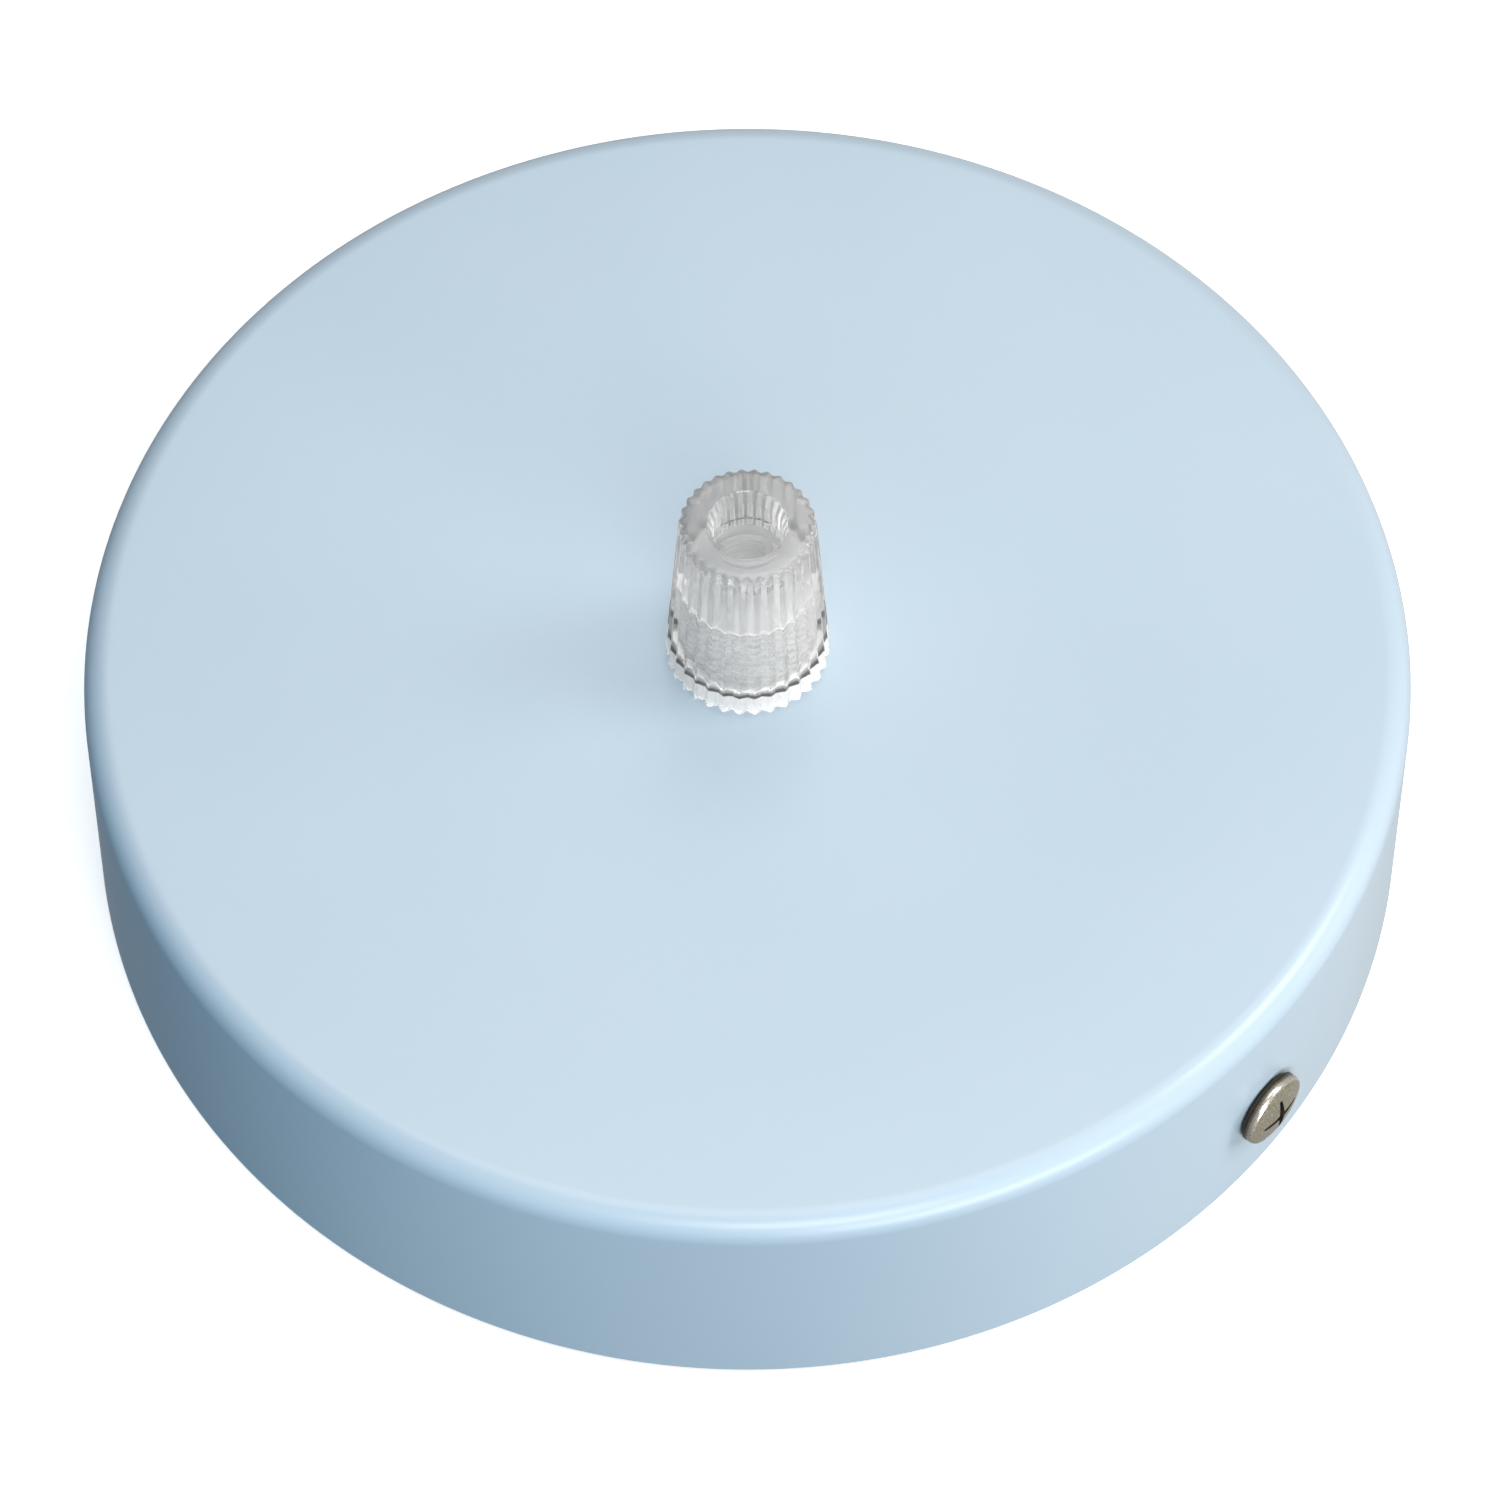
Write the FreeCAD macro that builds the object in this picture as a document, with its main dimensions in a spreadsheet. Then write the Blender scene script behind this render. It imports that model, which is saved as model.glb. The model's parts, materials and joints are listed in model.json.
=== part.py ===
import FreeCAD, Part
import Sketcher
import math
import os

from FreeCAD import Placement, Rotation, Vector

# Ceiling rose for a pendant lamp, in millimetres.
# The rim of the cup lies in the plane z = 0, where the ceiling would be, and
# the cord leaves through the clear gland at the top. The folded bracket and
# the two side screws lie along X.

# Driving dimensions: alias, size, meaning
DIMENSIONS = [
    ("cover_radius", 60.0, "cup, outer radius"),
    ("cover_height", 25.0, "cup, rim to outer face"),
    ("cover_wall", 1.0, "cup, sheet thickness"),
    ("cover_edge_radius", 2.5, "cup, outer radius of the drawn edge"),
    ("side_hole_gap", 0.25, "cup, side hole beyond the screw's radius"),
    ("cord_hole_gap", 0.15, "cup, centre hole beyond the gland's thread"),
    ("thread_gap", 0.05, "radial gap of every threaded fit"),
    ("stem_thread_radius", 5.0, "gland stem, thread of 10 mm"),
    ("stem_bore_radius", 3.0, "gland stem, cord bore"),
    ("stem_tail_length", 10.0, "gland stem, thread below the collar"),
    ("stem_lead", 0.5, "gland stem, chamfer at the tail's end"),
    ("collar_radius", 6.3, "gland stem, collar that sits on the cup"),
    ("collar_height", 1.1, "gland stem, collar thickness"),
    ("stem_shy", 0.8, "gland stem, thread's end below the cap's shoulder"),
    ("finger_gap", 0.2, "collet fingers, gap to the cap's cone"),
    ("finger_shy", 1.7, "collet fingers, tips below the cap's throat"),
    ("finger_slot_width", 1.0, "collet fingers, width of the slits"),
    ("finger_slot_run", 1.5, "collet fingers, slits' reach into the thread"),
    ("tooth_depth", 0.25, "collet fingers, depth of the gripping grooves"),
    ("tooth_pitch", 1.1, "collet fingers, pitch of the gripping grooves"),
    ("tooth_start", 0.5, "collet fingers, first groove below the tips"),
    ("cap_foot_gap", 0.85, "gland cap, foot above the cup's face"),
    ("cap_height", 19.65, "gland cap, overall height"),
    ("cap_foot_radius", 7.4, "gland cap, rib crests at the foot"),
    ("cap_top_radius", 6.1, "gland cap, rib crests at the top"),
    ("cap_top_rounding", 0.6, "gland cap, rounding of its top edge"),
    ("rib_count", 32, "gland cap, number of ribs"),
    ("rib_foot_depth", 0.42, "gland cap, depth of the grooves at the foot"),
    ("rib_top_depth", 0.26, "gland cap, depth of the grooves at the top"),
    ("rib_land", 0.12, "gland cap, flat left on each rib"),
    ("cap_skirt_gap", 0.3, "gland cap, skirt beyond the collar"),
    ("cap_skirt_depth", 1.9, "gland cap, depth of the skirt"),
    ("cap_thread_depth", 10.5, "gland cap, thread's end above the foot"),
    ("cap_shoulder_step", 0.35, "gland cap, step from the thread to the cone"),
    ("cap_mouth_depth", 4.3, "gland cap, depth of the funnel"),
    ("cap_mouth_flare", 0.48, "gland cap, funnel's widening"),
    ("cap_throat_gap", 0.1, "gland cap, throat beyond the cord bore"),
    ("cap_throat_length", 0.9, "gland cap, straight length of the throat"),
    ("washer_radius", 8.0, "gland washer, outer radius"),
    ("washer_thickness", 1.0, "gland washer, thickness"),
    ("washer_gap", 0.25, "gland washer, hole beyond the thread"),
    ("nut_flats", 14.0, "gland nut, across flats"),
    ("nut_height", 3.0, "gland nut, height"),
    ("nut_corner_rise", 0.6, "gland nut, height of the corner chamfers"),
    ("bracket_width", 20.0, "bracket, strip width"),
    ("bracket_thickness", 1.5, "bracket, sheet thickness"),
    ("bracket_clearance", 0.4, "bracket, tab corners to the cup"),
    ("bend_radius", 1.0, "bracket, inner bend radius"),
    ("tab_width", 14.0, "bracket, width of the upright tabs"),
    ("tab_height", 16.0, "bracket, height of the upright tabs"),
    ("tab_corner_radius", 4.0, "bracket, rounded corners of the tabs"),
    ("shoulder_run", 5.0, "bracket, narrow length before each tab"),
    ("centre_hole_radius", 9.0, "bracket, hole for the supply cable"),
    ("ceiling_slot_spacing", 72.0, "bracket, ceiling slots, centre to centre"),
    ("ceiling_slot_length", 14.0, "bracket, ceiling slots, end to end"),
    ("ceiling_slot_width", 5.0, "bracket, ceiling slots, width"),
    ("tap_collar_height", 1.5, "bracket, drawn collar round a tapped hole"),
    ("tap_collar_wall", 1.0, "bracket, wall of a drawn collar"),
    ("side_screw_height", 10.0, "side screws, axis above the rim"),
    ("side_screw_radius", 2.0, "side screws, thread of 4 mm"),
    ("side_screw_length", 8.0, "side screws, length under the head"),
    ("side_head_gap", 0.05, "side screws, head to the cup's wall"),
    ("side_head_radius", 3.6, "side screws, head radius"),
    ("side_head_side", 1.25, "side screws, straight side of the head"),
    ("side_head_dome", 0.75, "side screws, dome of the head"),
    ("side_head_rounding", 0.35, "side screws, rounding between side and dome"),
    ("side_head_bevel", 0.25, "side screws, bevel under the head"),
    ("side_recess_arm", 2.3, "side screws, reach of the cross recess"),
    ("side_recess_width", 0.9, "side screws, width of the cross recess"),
    ("side_recess_depth", 1.3, "side screws, depth of the cross recess"),
    ("tip_clearance", 0.3, "inner screws, tips above the ceiling plane"),
    ("earth_offset", 19.0, "earth screw, distance from the centre"),
    ("earth_screw_radius", 2.0, "earth screw, thread of 4 mm"),
    ("earth_head_radius", 3.5, "earth screw, head radius"),
    ("earth_head_side", 1.6, "earth screw, straight side of the head"),
    ("earth_head_dome", 0.8, "earth screw, dome of the head"),
    ("clamp_washer_radius", 4.5, "earth clamp washer, outer radius"),
    ("clamp_washer_thickness", 0.8, "earth clamp washer, thickness"),
    ("lock_washer_radius", 3.6, "earth lock washer, outer radius"),
    ("lock_washer_thickness", 1.0, "earth lock washer, thickness"),
    ("lock_washer_split", 0.8, "earth lock washer, width of the split"),
    ("earth_washer_gap", 0.15, "earth washers, hole beyond the thread"),
    ("terminal_offset", 19.5, "terminal block, distance from the centre"),
    ("pole_pitch", 8.0, "terminal block, pole to pole"),
    ("barrel_radius", 3.7, "terminal block, outer radius of a barrel"),
    ("barrel_length", 15.0, "terminal block, length of a barrel"),
    ("barrel_height", 4.2, "terminal block, axis above the strip"),
    ("web_width", 11.0, "terminal block, width of the joining web"),
    ("web_height", 4.2, "terminal block, height of the joining web"),
    ("chimney_radius", 2.7, "terminal block, outer radius of a screw tower"),
    ("chimney_height", 11.0, "terminal block, top of the screw towers"),
    ("chimney_wall", 0.75, "terminal block, wall of a screw tower"),
    ("chimney_inset", 3.5, "terminal block, towers in from the barrels' ends"),
    ("boss_radius", 2.9, "terminal block, outer radius of a fixing boss"),
    ("boss_height", 7.9, "terminal block, top of the fixing bosses"),
    ("clamp_radius", 2.3, "brass clamp, outer radius"),
    ("clamp_bore_radius", 1.5, "brass clamp, wire bore"),
    ("clamp_recess", 1.2, "brass clamp, ends inside the barrel's ends"),
    ("clamp_gap", 0.08, "brass clamp, gap in its tunnel"),
    ("terminal_screw_radius", 1.25, "terminal screws, thread of 2.5 mm"),
    ("terminal_screw_length", 3.4, "terminal screws, length under the head"),
    ("terminal_tip_lift", 0.1, "terminal screws, tips above the wire bore"),
    ("terminal_head_gap", 0.2, "terminal screws, head to the tower's wall"),
    ("terminal_head_side", 1.2, "terminal screws, straight side of the head"),
    ("terminal_head_dome", 0.25, "terminal screws, dome of the head"),
    ("terminal_slot_width", 0.5, "terminal screws, width of the slot"),
    ("terminal_slot_depth", 0.7, "terminal screws, depth of the slot"),
    ("fixing_screw_radius", 1.5, "block's fixing screw, thread of 3 mm"),
    ("fixing_hole_gap", 0.2, "block's fixing screw, gap in the boss"),
    ("fixing_head_radius", 2.65, "block's fixing screw, head radius"),
    ("fixing_head_side", 1.0, "block's fixing screw, side of the head"),
    ("fixing_head_dome", 0.8, "block's fixing screw, dome of the head"),
    ("recess_width", 0.7, "inner screws, width of a cross recess"),
    ("recess_depth", 1.1, "inner screws, depth of a cross recess"),
]

TOOTH_COUNT = 3
POLES = (-1, 0, 1)
SIDES = (-1, 1)

# Levels and radii that several pieces share, each worked out from the sheet
COVER_INNER_RADIUS = "(Dims.cover_radius - Dims.cover_wall)"
COVER_INNER_HEIGHT = "(Dims.cover_height - Dims.cover_wall)"
STEM_HOLE = "(Dims.stem_thread_radius + Dims.thread_gap)"
CAP_SKIRT = "(Dims.collar_radius + Dims.cap_skirt_gap)"
CAP_SHOULDER = f"({STEM_HOLE} - Dims.cap_shoulder_step)"
CAP_THROAT = "(Dims.stem_bore_radius + Dims.cap_throat_gap)"
CAP_MOUTH = f"({CAP_THROAT} + Dims.cap_mouth_flare)"
CAP_FUNNEL_FOOT = "(Dims.cap_height - Dims.cap_mouth_depth)"
CAP_THROAT_FOOT = f"({CAP_FUNNEL_FOOT} - Dims.cap_throat_length)"
STEM_THREAD_TOP = "(Dims.cap_foot_gap + Dims.cap_thread_depth - Dims.stem_shy)"
FINGER_TOP = f"(Dims.cap_foot_gap + {CAP_THROAT_FOOT} - Dims.finger_shy)"
HALF_SPAN = (
    f"sqrt(({COVER_INNER_RADIUS} - Dims.bracket_clearance)^2"
    " - (Dims.tab_width / 2)^2)"
)
SIDE_TAP = "(Dims.side_screw_radius + Dims.thread_gap)"
EARTH_TAP = "(Dims.earth_screw_radius + Dims.thread_gap)"
FIXING_TAP = "(Dims.fixing_screw_radius + Dims.thread_gap)"
EARTH_SEAT = "(Dims.bracket_thickness + Dims.tap_collar_height)"
CHIMNEY_WELL = "(Dims.chimney_radius - Dims.chimney_wall)"
CHIMNEY_OFFSET = "(Dims.barrel_length / 2 - Dims.chimney_inset)"


def make_sheet(doc):
    """The spreadsheet that holds every driving dimension."""
    sheet = doc.addObject("Spreadsheet::Sheet", "Dims")
    for row, (alias, size, meaning) in enumerate(DIMENSIONS, start=1):
        sheet.set(f"A{row}", meaning)
        sheet.set(f"B{row}", str(size))
        sheet.setAlias(f"B{row}", alias)
    doc.recompute()


def make_body(doc, label, place=("0", "0", "0"), rotation=None):
    """A body whose position is bound to three expressions."""
    body = doc.addObject("PartDesign::Body", label)
    body.Label = label
    if rotation:
        body.Placement = Placement(Vector(0, 0, 0), rotation)
    for axis, text in zip("xyz", place):
        if text != "0":
            body.setExpression(f"Placement.Base.{axis}", text)
    return body


def make_sketch(body, name, role="XY_Plane", lift=None):
    """A sketch on one of the body's origin planes, moved along its normal by lift."""
    sketch = body.newObject("Sketcher::SketchObject", f"{body.Name}_{name}")
    plane = next(item for item in body.Origin.OriginFeatures if item.Role == role)
    sketch.AttachmentSupport = [(plane, "")]
    sketch.MapMode = "FlatFace"
    if lift:
        sketch.setExpression("AttachmentOffset.Base.z", lift)
    return sketch


def size_of(sketch, text):
    return float(sketch.evalExpression(text))


def bind(sketch, constraint, text):
    index = sketch.addConstraint(constraint)
    sketch.setExpression(f"Constraints[{index}]", text)


def pin_point(sketch, geometry, point, across, up):
    """Hold one point of the sketch at two expressions, measured from the origin."""
    for kind, axis, text in (("DistanceX", -2, across), ("DistanceY", -1, up)):
        if text == "0":
            sketch.addConstraint(Sketcher.Constraint("PointOnObject", geometry, point, axis))
        else:
            size = size_of(sketch, text)
            bind(sketch, Sketcher.Constraint(kind, -1, 1, geometry, point, size), text)


def draw_lines(sketch, corners, closed=True):
    """Straight lines through the corners, each corner a pair of expressions."""
    places = [Vector(size_of(sketch, across), size_of(sketch, up), 0) for across, up in corners]
    if closed:
        places.append(places[0])
    first = sketch.GeometryCount
    for start, end in zip(places, places[1:]):
        sketch.addGeometry(Part.LineSegment(start, end))
    last = sketch.GeometryCount - 1
    for line in range(first, last):
        sketch.addConstraint(Sketcher.Constraint("Coincident", line, 2, line + 1, 1))
    if closed:
        sketch.addConstraint(Sketcher.Constraint("Coincident", last, 2, first, 1))
    for number, (across, up) in enumerate(corners):
        if first + number <= last:
            pin_point(sketch, first + number, 1, across, up)
        else:
            pin_point(sketch, last, 2, across, up)


def draw_rectangle(sketch, left, bottom, right, top):
    draw_lines(sketch, [(left, bottom), (right, bottom), (right, top), (left, top)])


def draw_circle(sketch, across, up, radius):
    centre = Vector(size_of(sketch, across), size_of(sketch, up), 0)
    circle = Part.Circle(centre, Vector(0, 0, 1), size_of(sketch, radius))
    number = sketch.addGeometry(circle)
    pin_point(sketch, number, 3, across, up)
    bind(sketch, Sketcher.Constraint("Radius", number, size_of(sketch, radius)), radius)


def draw_cross(sketch, arm, half_width):
    """The outline of two crossing bars of equal length."""
    near, far = f"({half_width})", f"({arm})"
    quarter = [(far, near), (near, near), (near, far)]
    corners = []
    for across_sign, up_sign in ((1, 1), (-1, 1), (-1, -1), (1, -1)):
        part = quarter if across_sign == up_sign else quarter[::-1]
        for across, up in part:
            corners.append((f"{across_sign} * {across}", f"{up_sign} * {up}"))
    draw_lines(sketch, corners)


def draw_slot(sketch, middle, half_run, radius):
    """A slot along the sketch's first axis with round ends, centred at middle."""
    ends = [f"({middle}) - ({half_run})", f"({middle}) + ({half_run})"]
    low, high = [size_of(sketch, text) for text in ends]
    size = size_of(sketch, radius)
    normal = Vector(0, 0, 1)
    quarter = math.pi / 2
    left_circle = Part.Circle(Vector(low, 0, 0), normal, size)
    right_circle = Part.Circle(Vector(high, 0, 0), normal, size)
    left = sketch.addGeometry(Part.ArcOfCircle(left_circle, quarter, 3 * quarter))
    right = sketch.addGeometry(Part.ArcOfCircle(right_circle, -quarter, quarter))
    lower = sketch.addGeometry(Part.LineSegment(Vector(low, -size, 0), Vector(high, -size, 0)))
    upper = sketch.addGeometry(Part.LineSegment(Vector(high, size, 0), Vector(low, size, 0)))
    for first, first_end, second, second_end in (
        (left, 2, lower, 1),
        (lower, 2, right, 1),
        (right, 2, upper, 1),
        (upper, 2, left, 1),
    ):
        sketch.addConstraint(
            Sketcher.Constraint("Tangent", first, first_end, second, second_end)
        )
    pin_point(sketch, left, 3, ends[0], "0")
    pin_point(sketch, right, 3, ends[1], "0")
    bind(sketch, Sketcher.Constraint("Radius", left, size), radius)


def draw_domed_half(sketch, corners, dome):
    """Half the outline of a domed, turned piece, from the foot's centre to the apex.

    The last corner is the edge where the dome starts, and dome is its height.
    """
    edge, level = corners[-1]
    draw_lines(sketch, corners, closed=False)
    last = sketch.GeometryCount - 1
    radius_text = f"(({edge})^2 + ({dome})^2) / (2 * ({dome}))"
    radius = size_of(sketch, radius_text)
    apex = size_of(sketch, f"({level}) + ({dome})")
    reach = size_of(sketch, edge)
    circle = Part.Circle(Vector(0, apex - radius, 0), Vector(0, 0, 1), radius)
    start = math.acos(reach / radius)
    arc = sketch.addGeometry(Part.ArcOfCircle(circle, start, math.pi / 2))
    foot = Vector(0, size_of(sketch, corners[0][1]), 0)
    axis = sketch.addGeometry(Part.LineSegment(Vector(0, apex, 0), foot))
    sketch.addConstraint(Sketcher.Constraint("Coincident", last, 2, arc, 1))
    sketch.addConstraint(Sketcher.Constraint("Coincident", arc, 2, axis, 1))
    sketch.addConstraint(Sketcher.Constraint("Coincident", axis, 2, 0, 1))
    sketch.addConstraint(Sketcher.Constraint("PointOnObject", arc, 3, -2))
    sketch.addConstraint(Sketcher.Constraint("PointOnObject", arc, 2, -2))
    bind(sketch, Sketcher.Constraint("Radius", arc, radius), radius_text)


def add_pad(body, name, sketch, length, symmetric=False, backwards=False):
    pad = body.newObject("PartDesign::Pad", f"{body.Name}_{name}")
    pad.Profile = sketch
    pad.SideType = "Symmetric" if symmetric else "One side"
    pad.Reversed = backwards
    pad.setExpression("Length", length)
    return pad


def add_pocket(body, name, sketch, length=None, symmetric=False, backwards=False):
    """A pocket of the given length, or through everything where there is none."""
    body.Document.recompute()
    volume = body.Shape.Volume
    pocket = body.newObject("PartDesign::Pocket", f"{body.Name}_{name}")
    pocket.Profile = sketch
    pocket.SideType = "Symmetric" if symmetric else "One side"
    pocket.Reversed = backwards
    if length:
        pocket.setExpression("Length", length)
    else:
        pocket.Type = "ThroughAll"
    body.Document.recompute()
    if pocket.Shape.Volume >= volume:
        raise RuntimeError(f"{pocket.Name} cuts nothing")
    return pocket


def add_revolution(body, name, sketch):
    turned = body.newObject("PartDesign::Revolution", f"{body.Name}_{name}")
    turned.Profile = sketch
    turned.ReferenceAxis = (sketch, ["V_Axis"])
    turned.Angle = 360
    return turned


def add_fillet(body, name, wanted, radius):
    """A fillet on the edges of the body's last shape for which wanted is true."""
    body.Document.recompute()
    base = body.Tip
    edges = [f"Edge{n}" for n, edge in enumerate(base.Shape.Edges, start=1) if wanted(edge)]
    if not edges:
        raise RuntimeError(f"{body.Name} has no edge for {name}")
    fillet = body.newObject("PartDesign::Fillet", f"{body.Name}_{name}")
    fillet.Base = (base, edges)
    fillet.setExpression("Radius", radius)
    return fillet


def add_mirror(body, name, features, plane):
    """Repeat the features on the other side of one of the body's origin planes."""
    mirror = body.newObject("PartDesign::Mirrored", f"{body.Name}_{name}")
    mirror.Originals = features
    side = next(item for item in body.Origin.OriginFeatures if item.Role == plane)
    mirror.MirrorPlane = (side, [""])
    body.Tip = mirror
    return mirror


def near(one, other):
    return abs(one - other) < 1e-4


def along(edge, direction):
    """True for a straight edge that runs along the direction."""
    if not isinstance(edge.Curve, Part.Line):
        return False
    return edge.Curve.Direction.cross(direction).Length < 1e-6


def is_rim(edge, level, radius):
    """True for a whole circle about Z of this radius at this level."""
    if edge.Degenerated or not isinstance(edge.Curve, Part.Circle):
        return False
    return near(edge.Curve.Radius, radius) and near(edge.CenterOfMass.z, level)


def make_cover(doc):
    """The drawn steel cup, with its cord hole and two side holes."""
    body = make_body(doc, "cover")

    disc = make_sketch(body, "outer_circle")
    draw_circle(disc, "0", "0", "Dims.cover_radius")
    add_pad(body, "block", disc, "Dims.cover_height")
    height = size_of(disc, "Dims.cover_height")
    radius = size_of(disc, "Dims.cover_radius")
    add_fillet(
        body,
        "outer_edge",
        lambda edge: is_rim(edge, height, radius),
        "Dims.cover_edge_radius",
    )

    hollow = make_sketch(body, "inner_circle")
    draw_circle(hollow, "0", "0", COVER_INNER_RADIUS)
    add_pocket(body, "hollow", hollow, COVER_INNER_HEIGHT, backwards=True)
    inner_height = size_of(disc, COVER_INNER_HEIGHT)
    inner_radius = size_of(disc, COVER_INNER_RADIUS)
    add_fillet(
        body,
        "inner_edge",
        lambda edge: is_rim(edge, inner_height, inner_radius),
        "Dims.cover_edge_radius - Dims.cover_wall",
    )

    cord_hole = make_sketch(body, "cord_hole_circle")
    draw_circle(cord_hole, "0", "0", "Dims.stem_thread_radius + Dims.cord_hole_gap")
    add_pocket(body, "cord_hole", cord_hole, backwards=True)

    side_hole = make_sketch(body, "side_hole_circle", "YZ_Plane")
    draw_circle(
        side_hole, "0", "Dims.side_screw_height", "Dims.side_screw_radius + Dims.side_hole_gap"
    )
    add_pocket(body, "side_holes", side_hole, symmetric=True)
    return body


def cone_radius(level):
    """Radius of the cap's inner cone at a level above the cap's foot."""
    fall = f"({CAP_SHOULDER} - {CAP_THROAT})"
    run = f"({CAP_THROAT_FOOT} - Dims.cap_thread_depth)"
    return f"({CAP_SHOULDER} - {fall} * (({level}) - Dims.cap_thread_depth) / {run})"


def make_gland_cap(doc):
    """The clear cap: a tapered nut with sharp ribs, a skirt over the collar, a
    thread, an inner cone that closes the collet, and a funnel mouth.
    """
    place = ("0", "0", "Dims.cover_height + Dims.cap_foot_gap")
    # Turned by half a rib, so that crests lie on the X and Y axes
    half_rib = Rotation(Vector(0, 0, 1), 1)
    body = make_body(doc, "gland_cap", place, half_rib)
    body.setExpression("Placement.Rotation.Angle", "180deg / Dims.rib_count")

    section = make_sketch(body, "section", "XZ_Plane")
    draw_lines(section, [
        (CAP_SKIRT, "0"),
        ("Dims.cap_foot_radius", "0"),
        ("Dims.cap_top_radius", "Dims.cap_height"),
        (CAP_MOUTH, "Dims.cap_height"),
        (CAP_THROAT, CAP_FUNNEL_FOOT),
        (CAP_THROAT, CAP_THROAT_FOOT),
        (CAP_SHOULDER, "Dims.cap_thread_depth"),
        (STEM_HOLE, "Dims.cap_thread_depth"),
        (STEM_HOLE, "Dims.cap_skirt_depth"),
        (CAP_SKIRT, "Dims.cap_skirt_depth"),
    ])
    add_revolution(body, "turned", section)
    height = size_of(section, "Dims.cap_height")
    top_radius = size_of(section, "Dims.cap_top_radius")
    add_fillet(
        body,
        "top_edge",
        lambda edge: is_rim(edge, height, top_radius),
        "Dims.cap_top_rounding",
    )

    foot = make_sketch(body, "groove_foot")
    draw_groove(foot, "Dims.cap_foot_radius", "Dims.rib_foot_depth")
    top = make_sketch(body, "groove_top", lift="Dims.cap_height")
    draw_groove(top, "Dims.cap_top_radius", "Dims.rib_top_depth")
    groove = body.newObject("PartDesign::SubtractiveLoft", "gland_cap_groove")
    groove.Profile = foot
    groove.Sections = [top]
    groove.Ruled = True
    doc.recompute()

    ribs = body.newObject("PartDesign::PolarPattern", "gland_cap_ribs")
    ribs.Originals = [groove]
    ribs.Axis = (foot, ["N_Axis"])
    ribs.Angle = 360
    ribs.setExpression("Occurrences", "Dims.rib_count")
    body.Tip = ribs
    return body


def draw_groove(sketch, crest, depth):
    """The sharp groove between two ribs, open beyond the crest radius."""
    root = f"({crest} - {depth})"
    half_width = f"({crest} * tan(180deg / Dims.rib_count) - Dims.rib_land / 2)"
    # The sides are carried on past the crests, so that the cut ends in the open
    outer = f"({crest} + {depth})"
    draw_lines(sketch, [
        (root, "0"),
        (outer, f"-2 * {half_width}"),
        (outer, f"2 * {half_width}"),
    ])


def make_gland_stem(doc):
    """The clear stem: a threaded tail, a collar, and a collet of split fingers."""
    body = make_body(doc, "gland_stem", ("0", "0", "Dims.cover_height"))
    bore = "Dims.stem_bore_radius"
    thread = "Dims.stem_thread_radius"
    finger_root = f"({CAP_SHOULDER} - Dims.finger_gap)"
    finger_tip = f"({cone_radius(f'{FINGER_TOP} - Dims.cap_foot_gap')} - Dims.finger_gap)"

    corners = [
        (bore, "-Dims.stem_tail_length"),
        (f"{thread} - Dims.stem_lead", "-Dims.stem_tail_length"),
        (thread, "Dims.stem_lead - Dims.stem_tail_length"),
        (thread, "0"),
        ("Dims.collar_radius", "0"),
        ("Dims.collar_radius", "Dims.collar_height"),
        (thread, "Dims.collar_height"),
        (thread, STEM_THREAD_TOP),
        (finger_root, STEM_THREAD_TOP),
        (finger_tip, FINGER_TOP),
        (bore, FINGER_TOP),
    ]
    # Gripping grooves inside the fingers, from the tips down
    for tooth in range(TOOTH_COUNT):
        edge = f"{FINGER_TOP} - Dims.tooth_start - {tooth} * Dims.tooth_pitch"
        corners.append((bore, edge))
        corners.append((f"{bore} + Dims.tooth_depth", f"{edge} - Dims.tooth_pitch / 2"))
    corners.append((bore, f"{FINGER_TOP} - Dims.tooth_start - {TOOTH_COUNT} * Dims.tooth_pitch"))

    section = make_sketch(body, "section", "XZ_Plane")
    draw_lines(section, corners)
    add_revolution(body, "turned", section)

    slits = make_sketch(body, "slits", lift=f"{STEM_THREAD_TOP} - Dims.finger_slot_run")
    draw_cross(slits, "Dims.collar_radius", "Dims.finger_slot_width / 2")
    add_pocket(body, "fingers", slits, backwards=True)
    return body


def make_ring(doc, label, place, outer, inner, thickness):
    """A flat washer whose lower face lies at its place."""
    body = make_body(doc, label, place)
    ring = make_sketch(body, "ring")
    draw_circle(ring, "0", "0", outer)
    draw_circle(ring, "0", "0", inner)
    add_pad(body, "plate", ring, thickness)
    return body


def make_gland_washer(doc):
    level = f"{COVER_INNER_HEIGHT} - Dims.washer_thickness"
    hole = "Dims.stem_thread_radius + Dims.washer_gap"
    place = ("0", "0", level)
    return make_ring(doc, "gland_washer", place, "Dims.washer_radius", hole, "Dims.washer_thickness")


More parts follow.
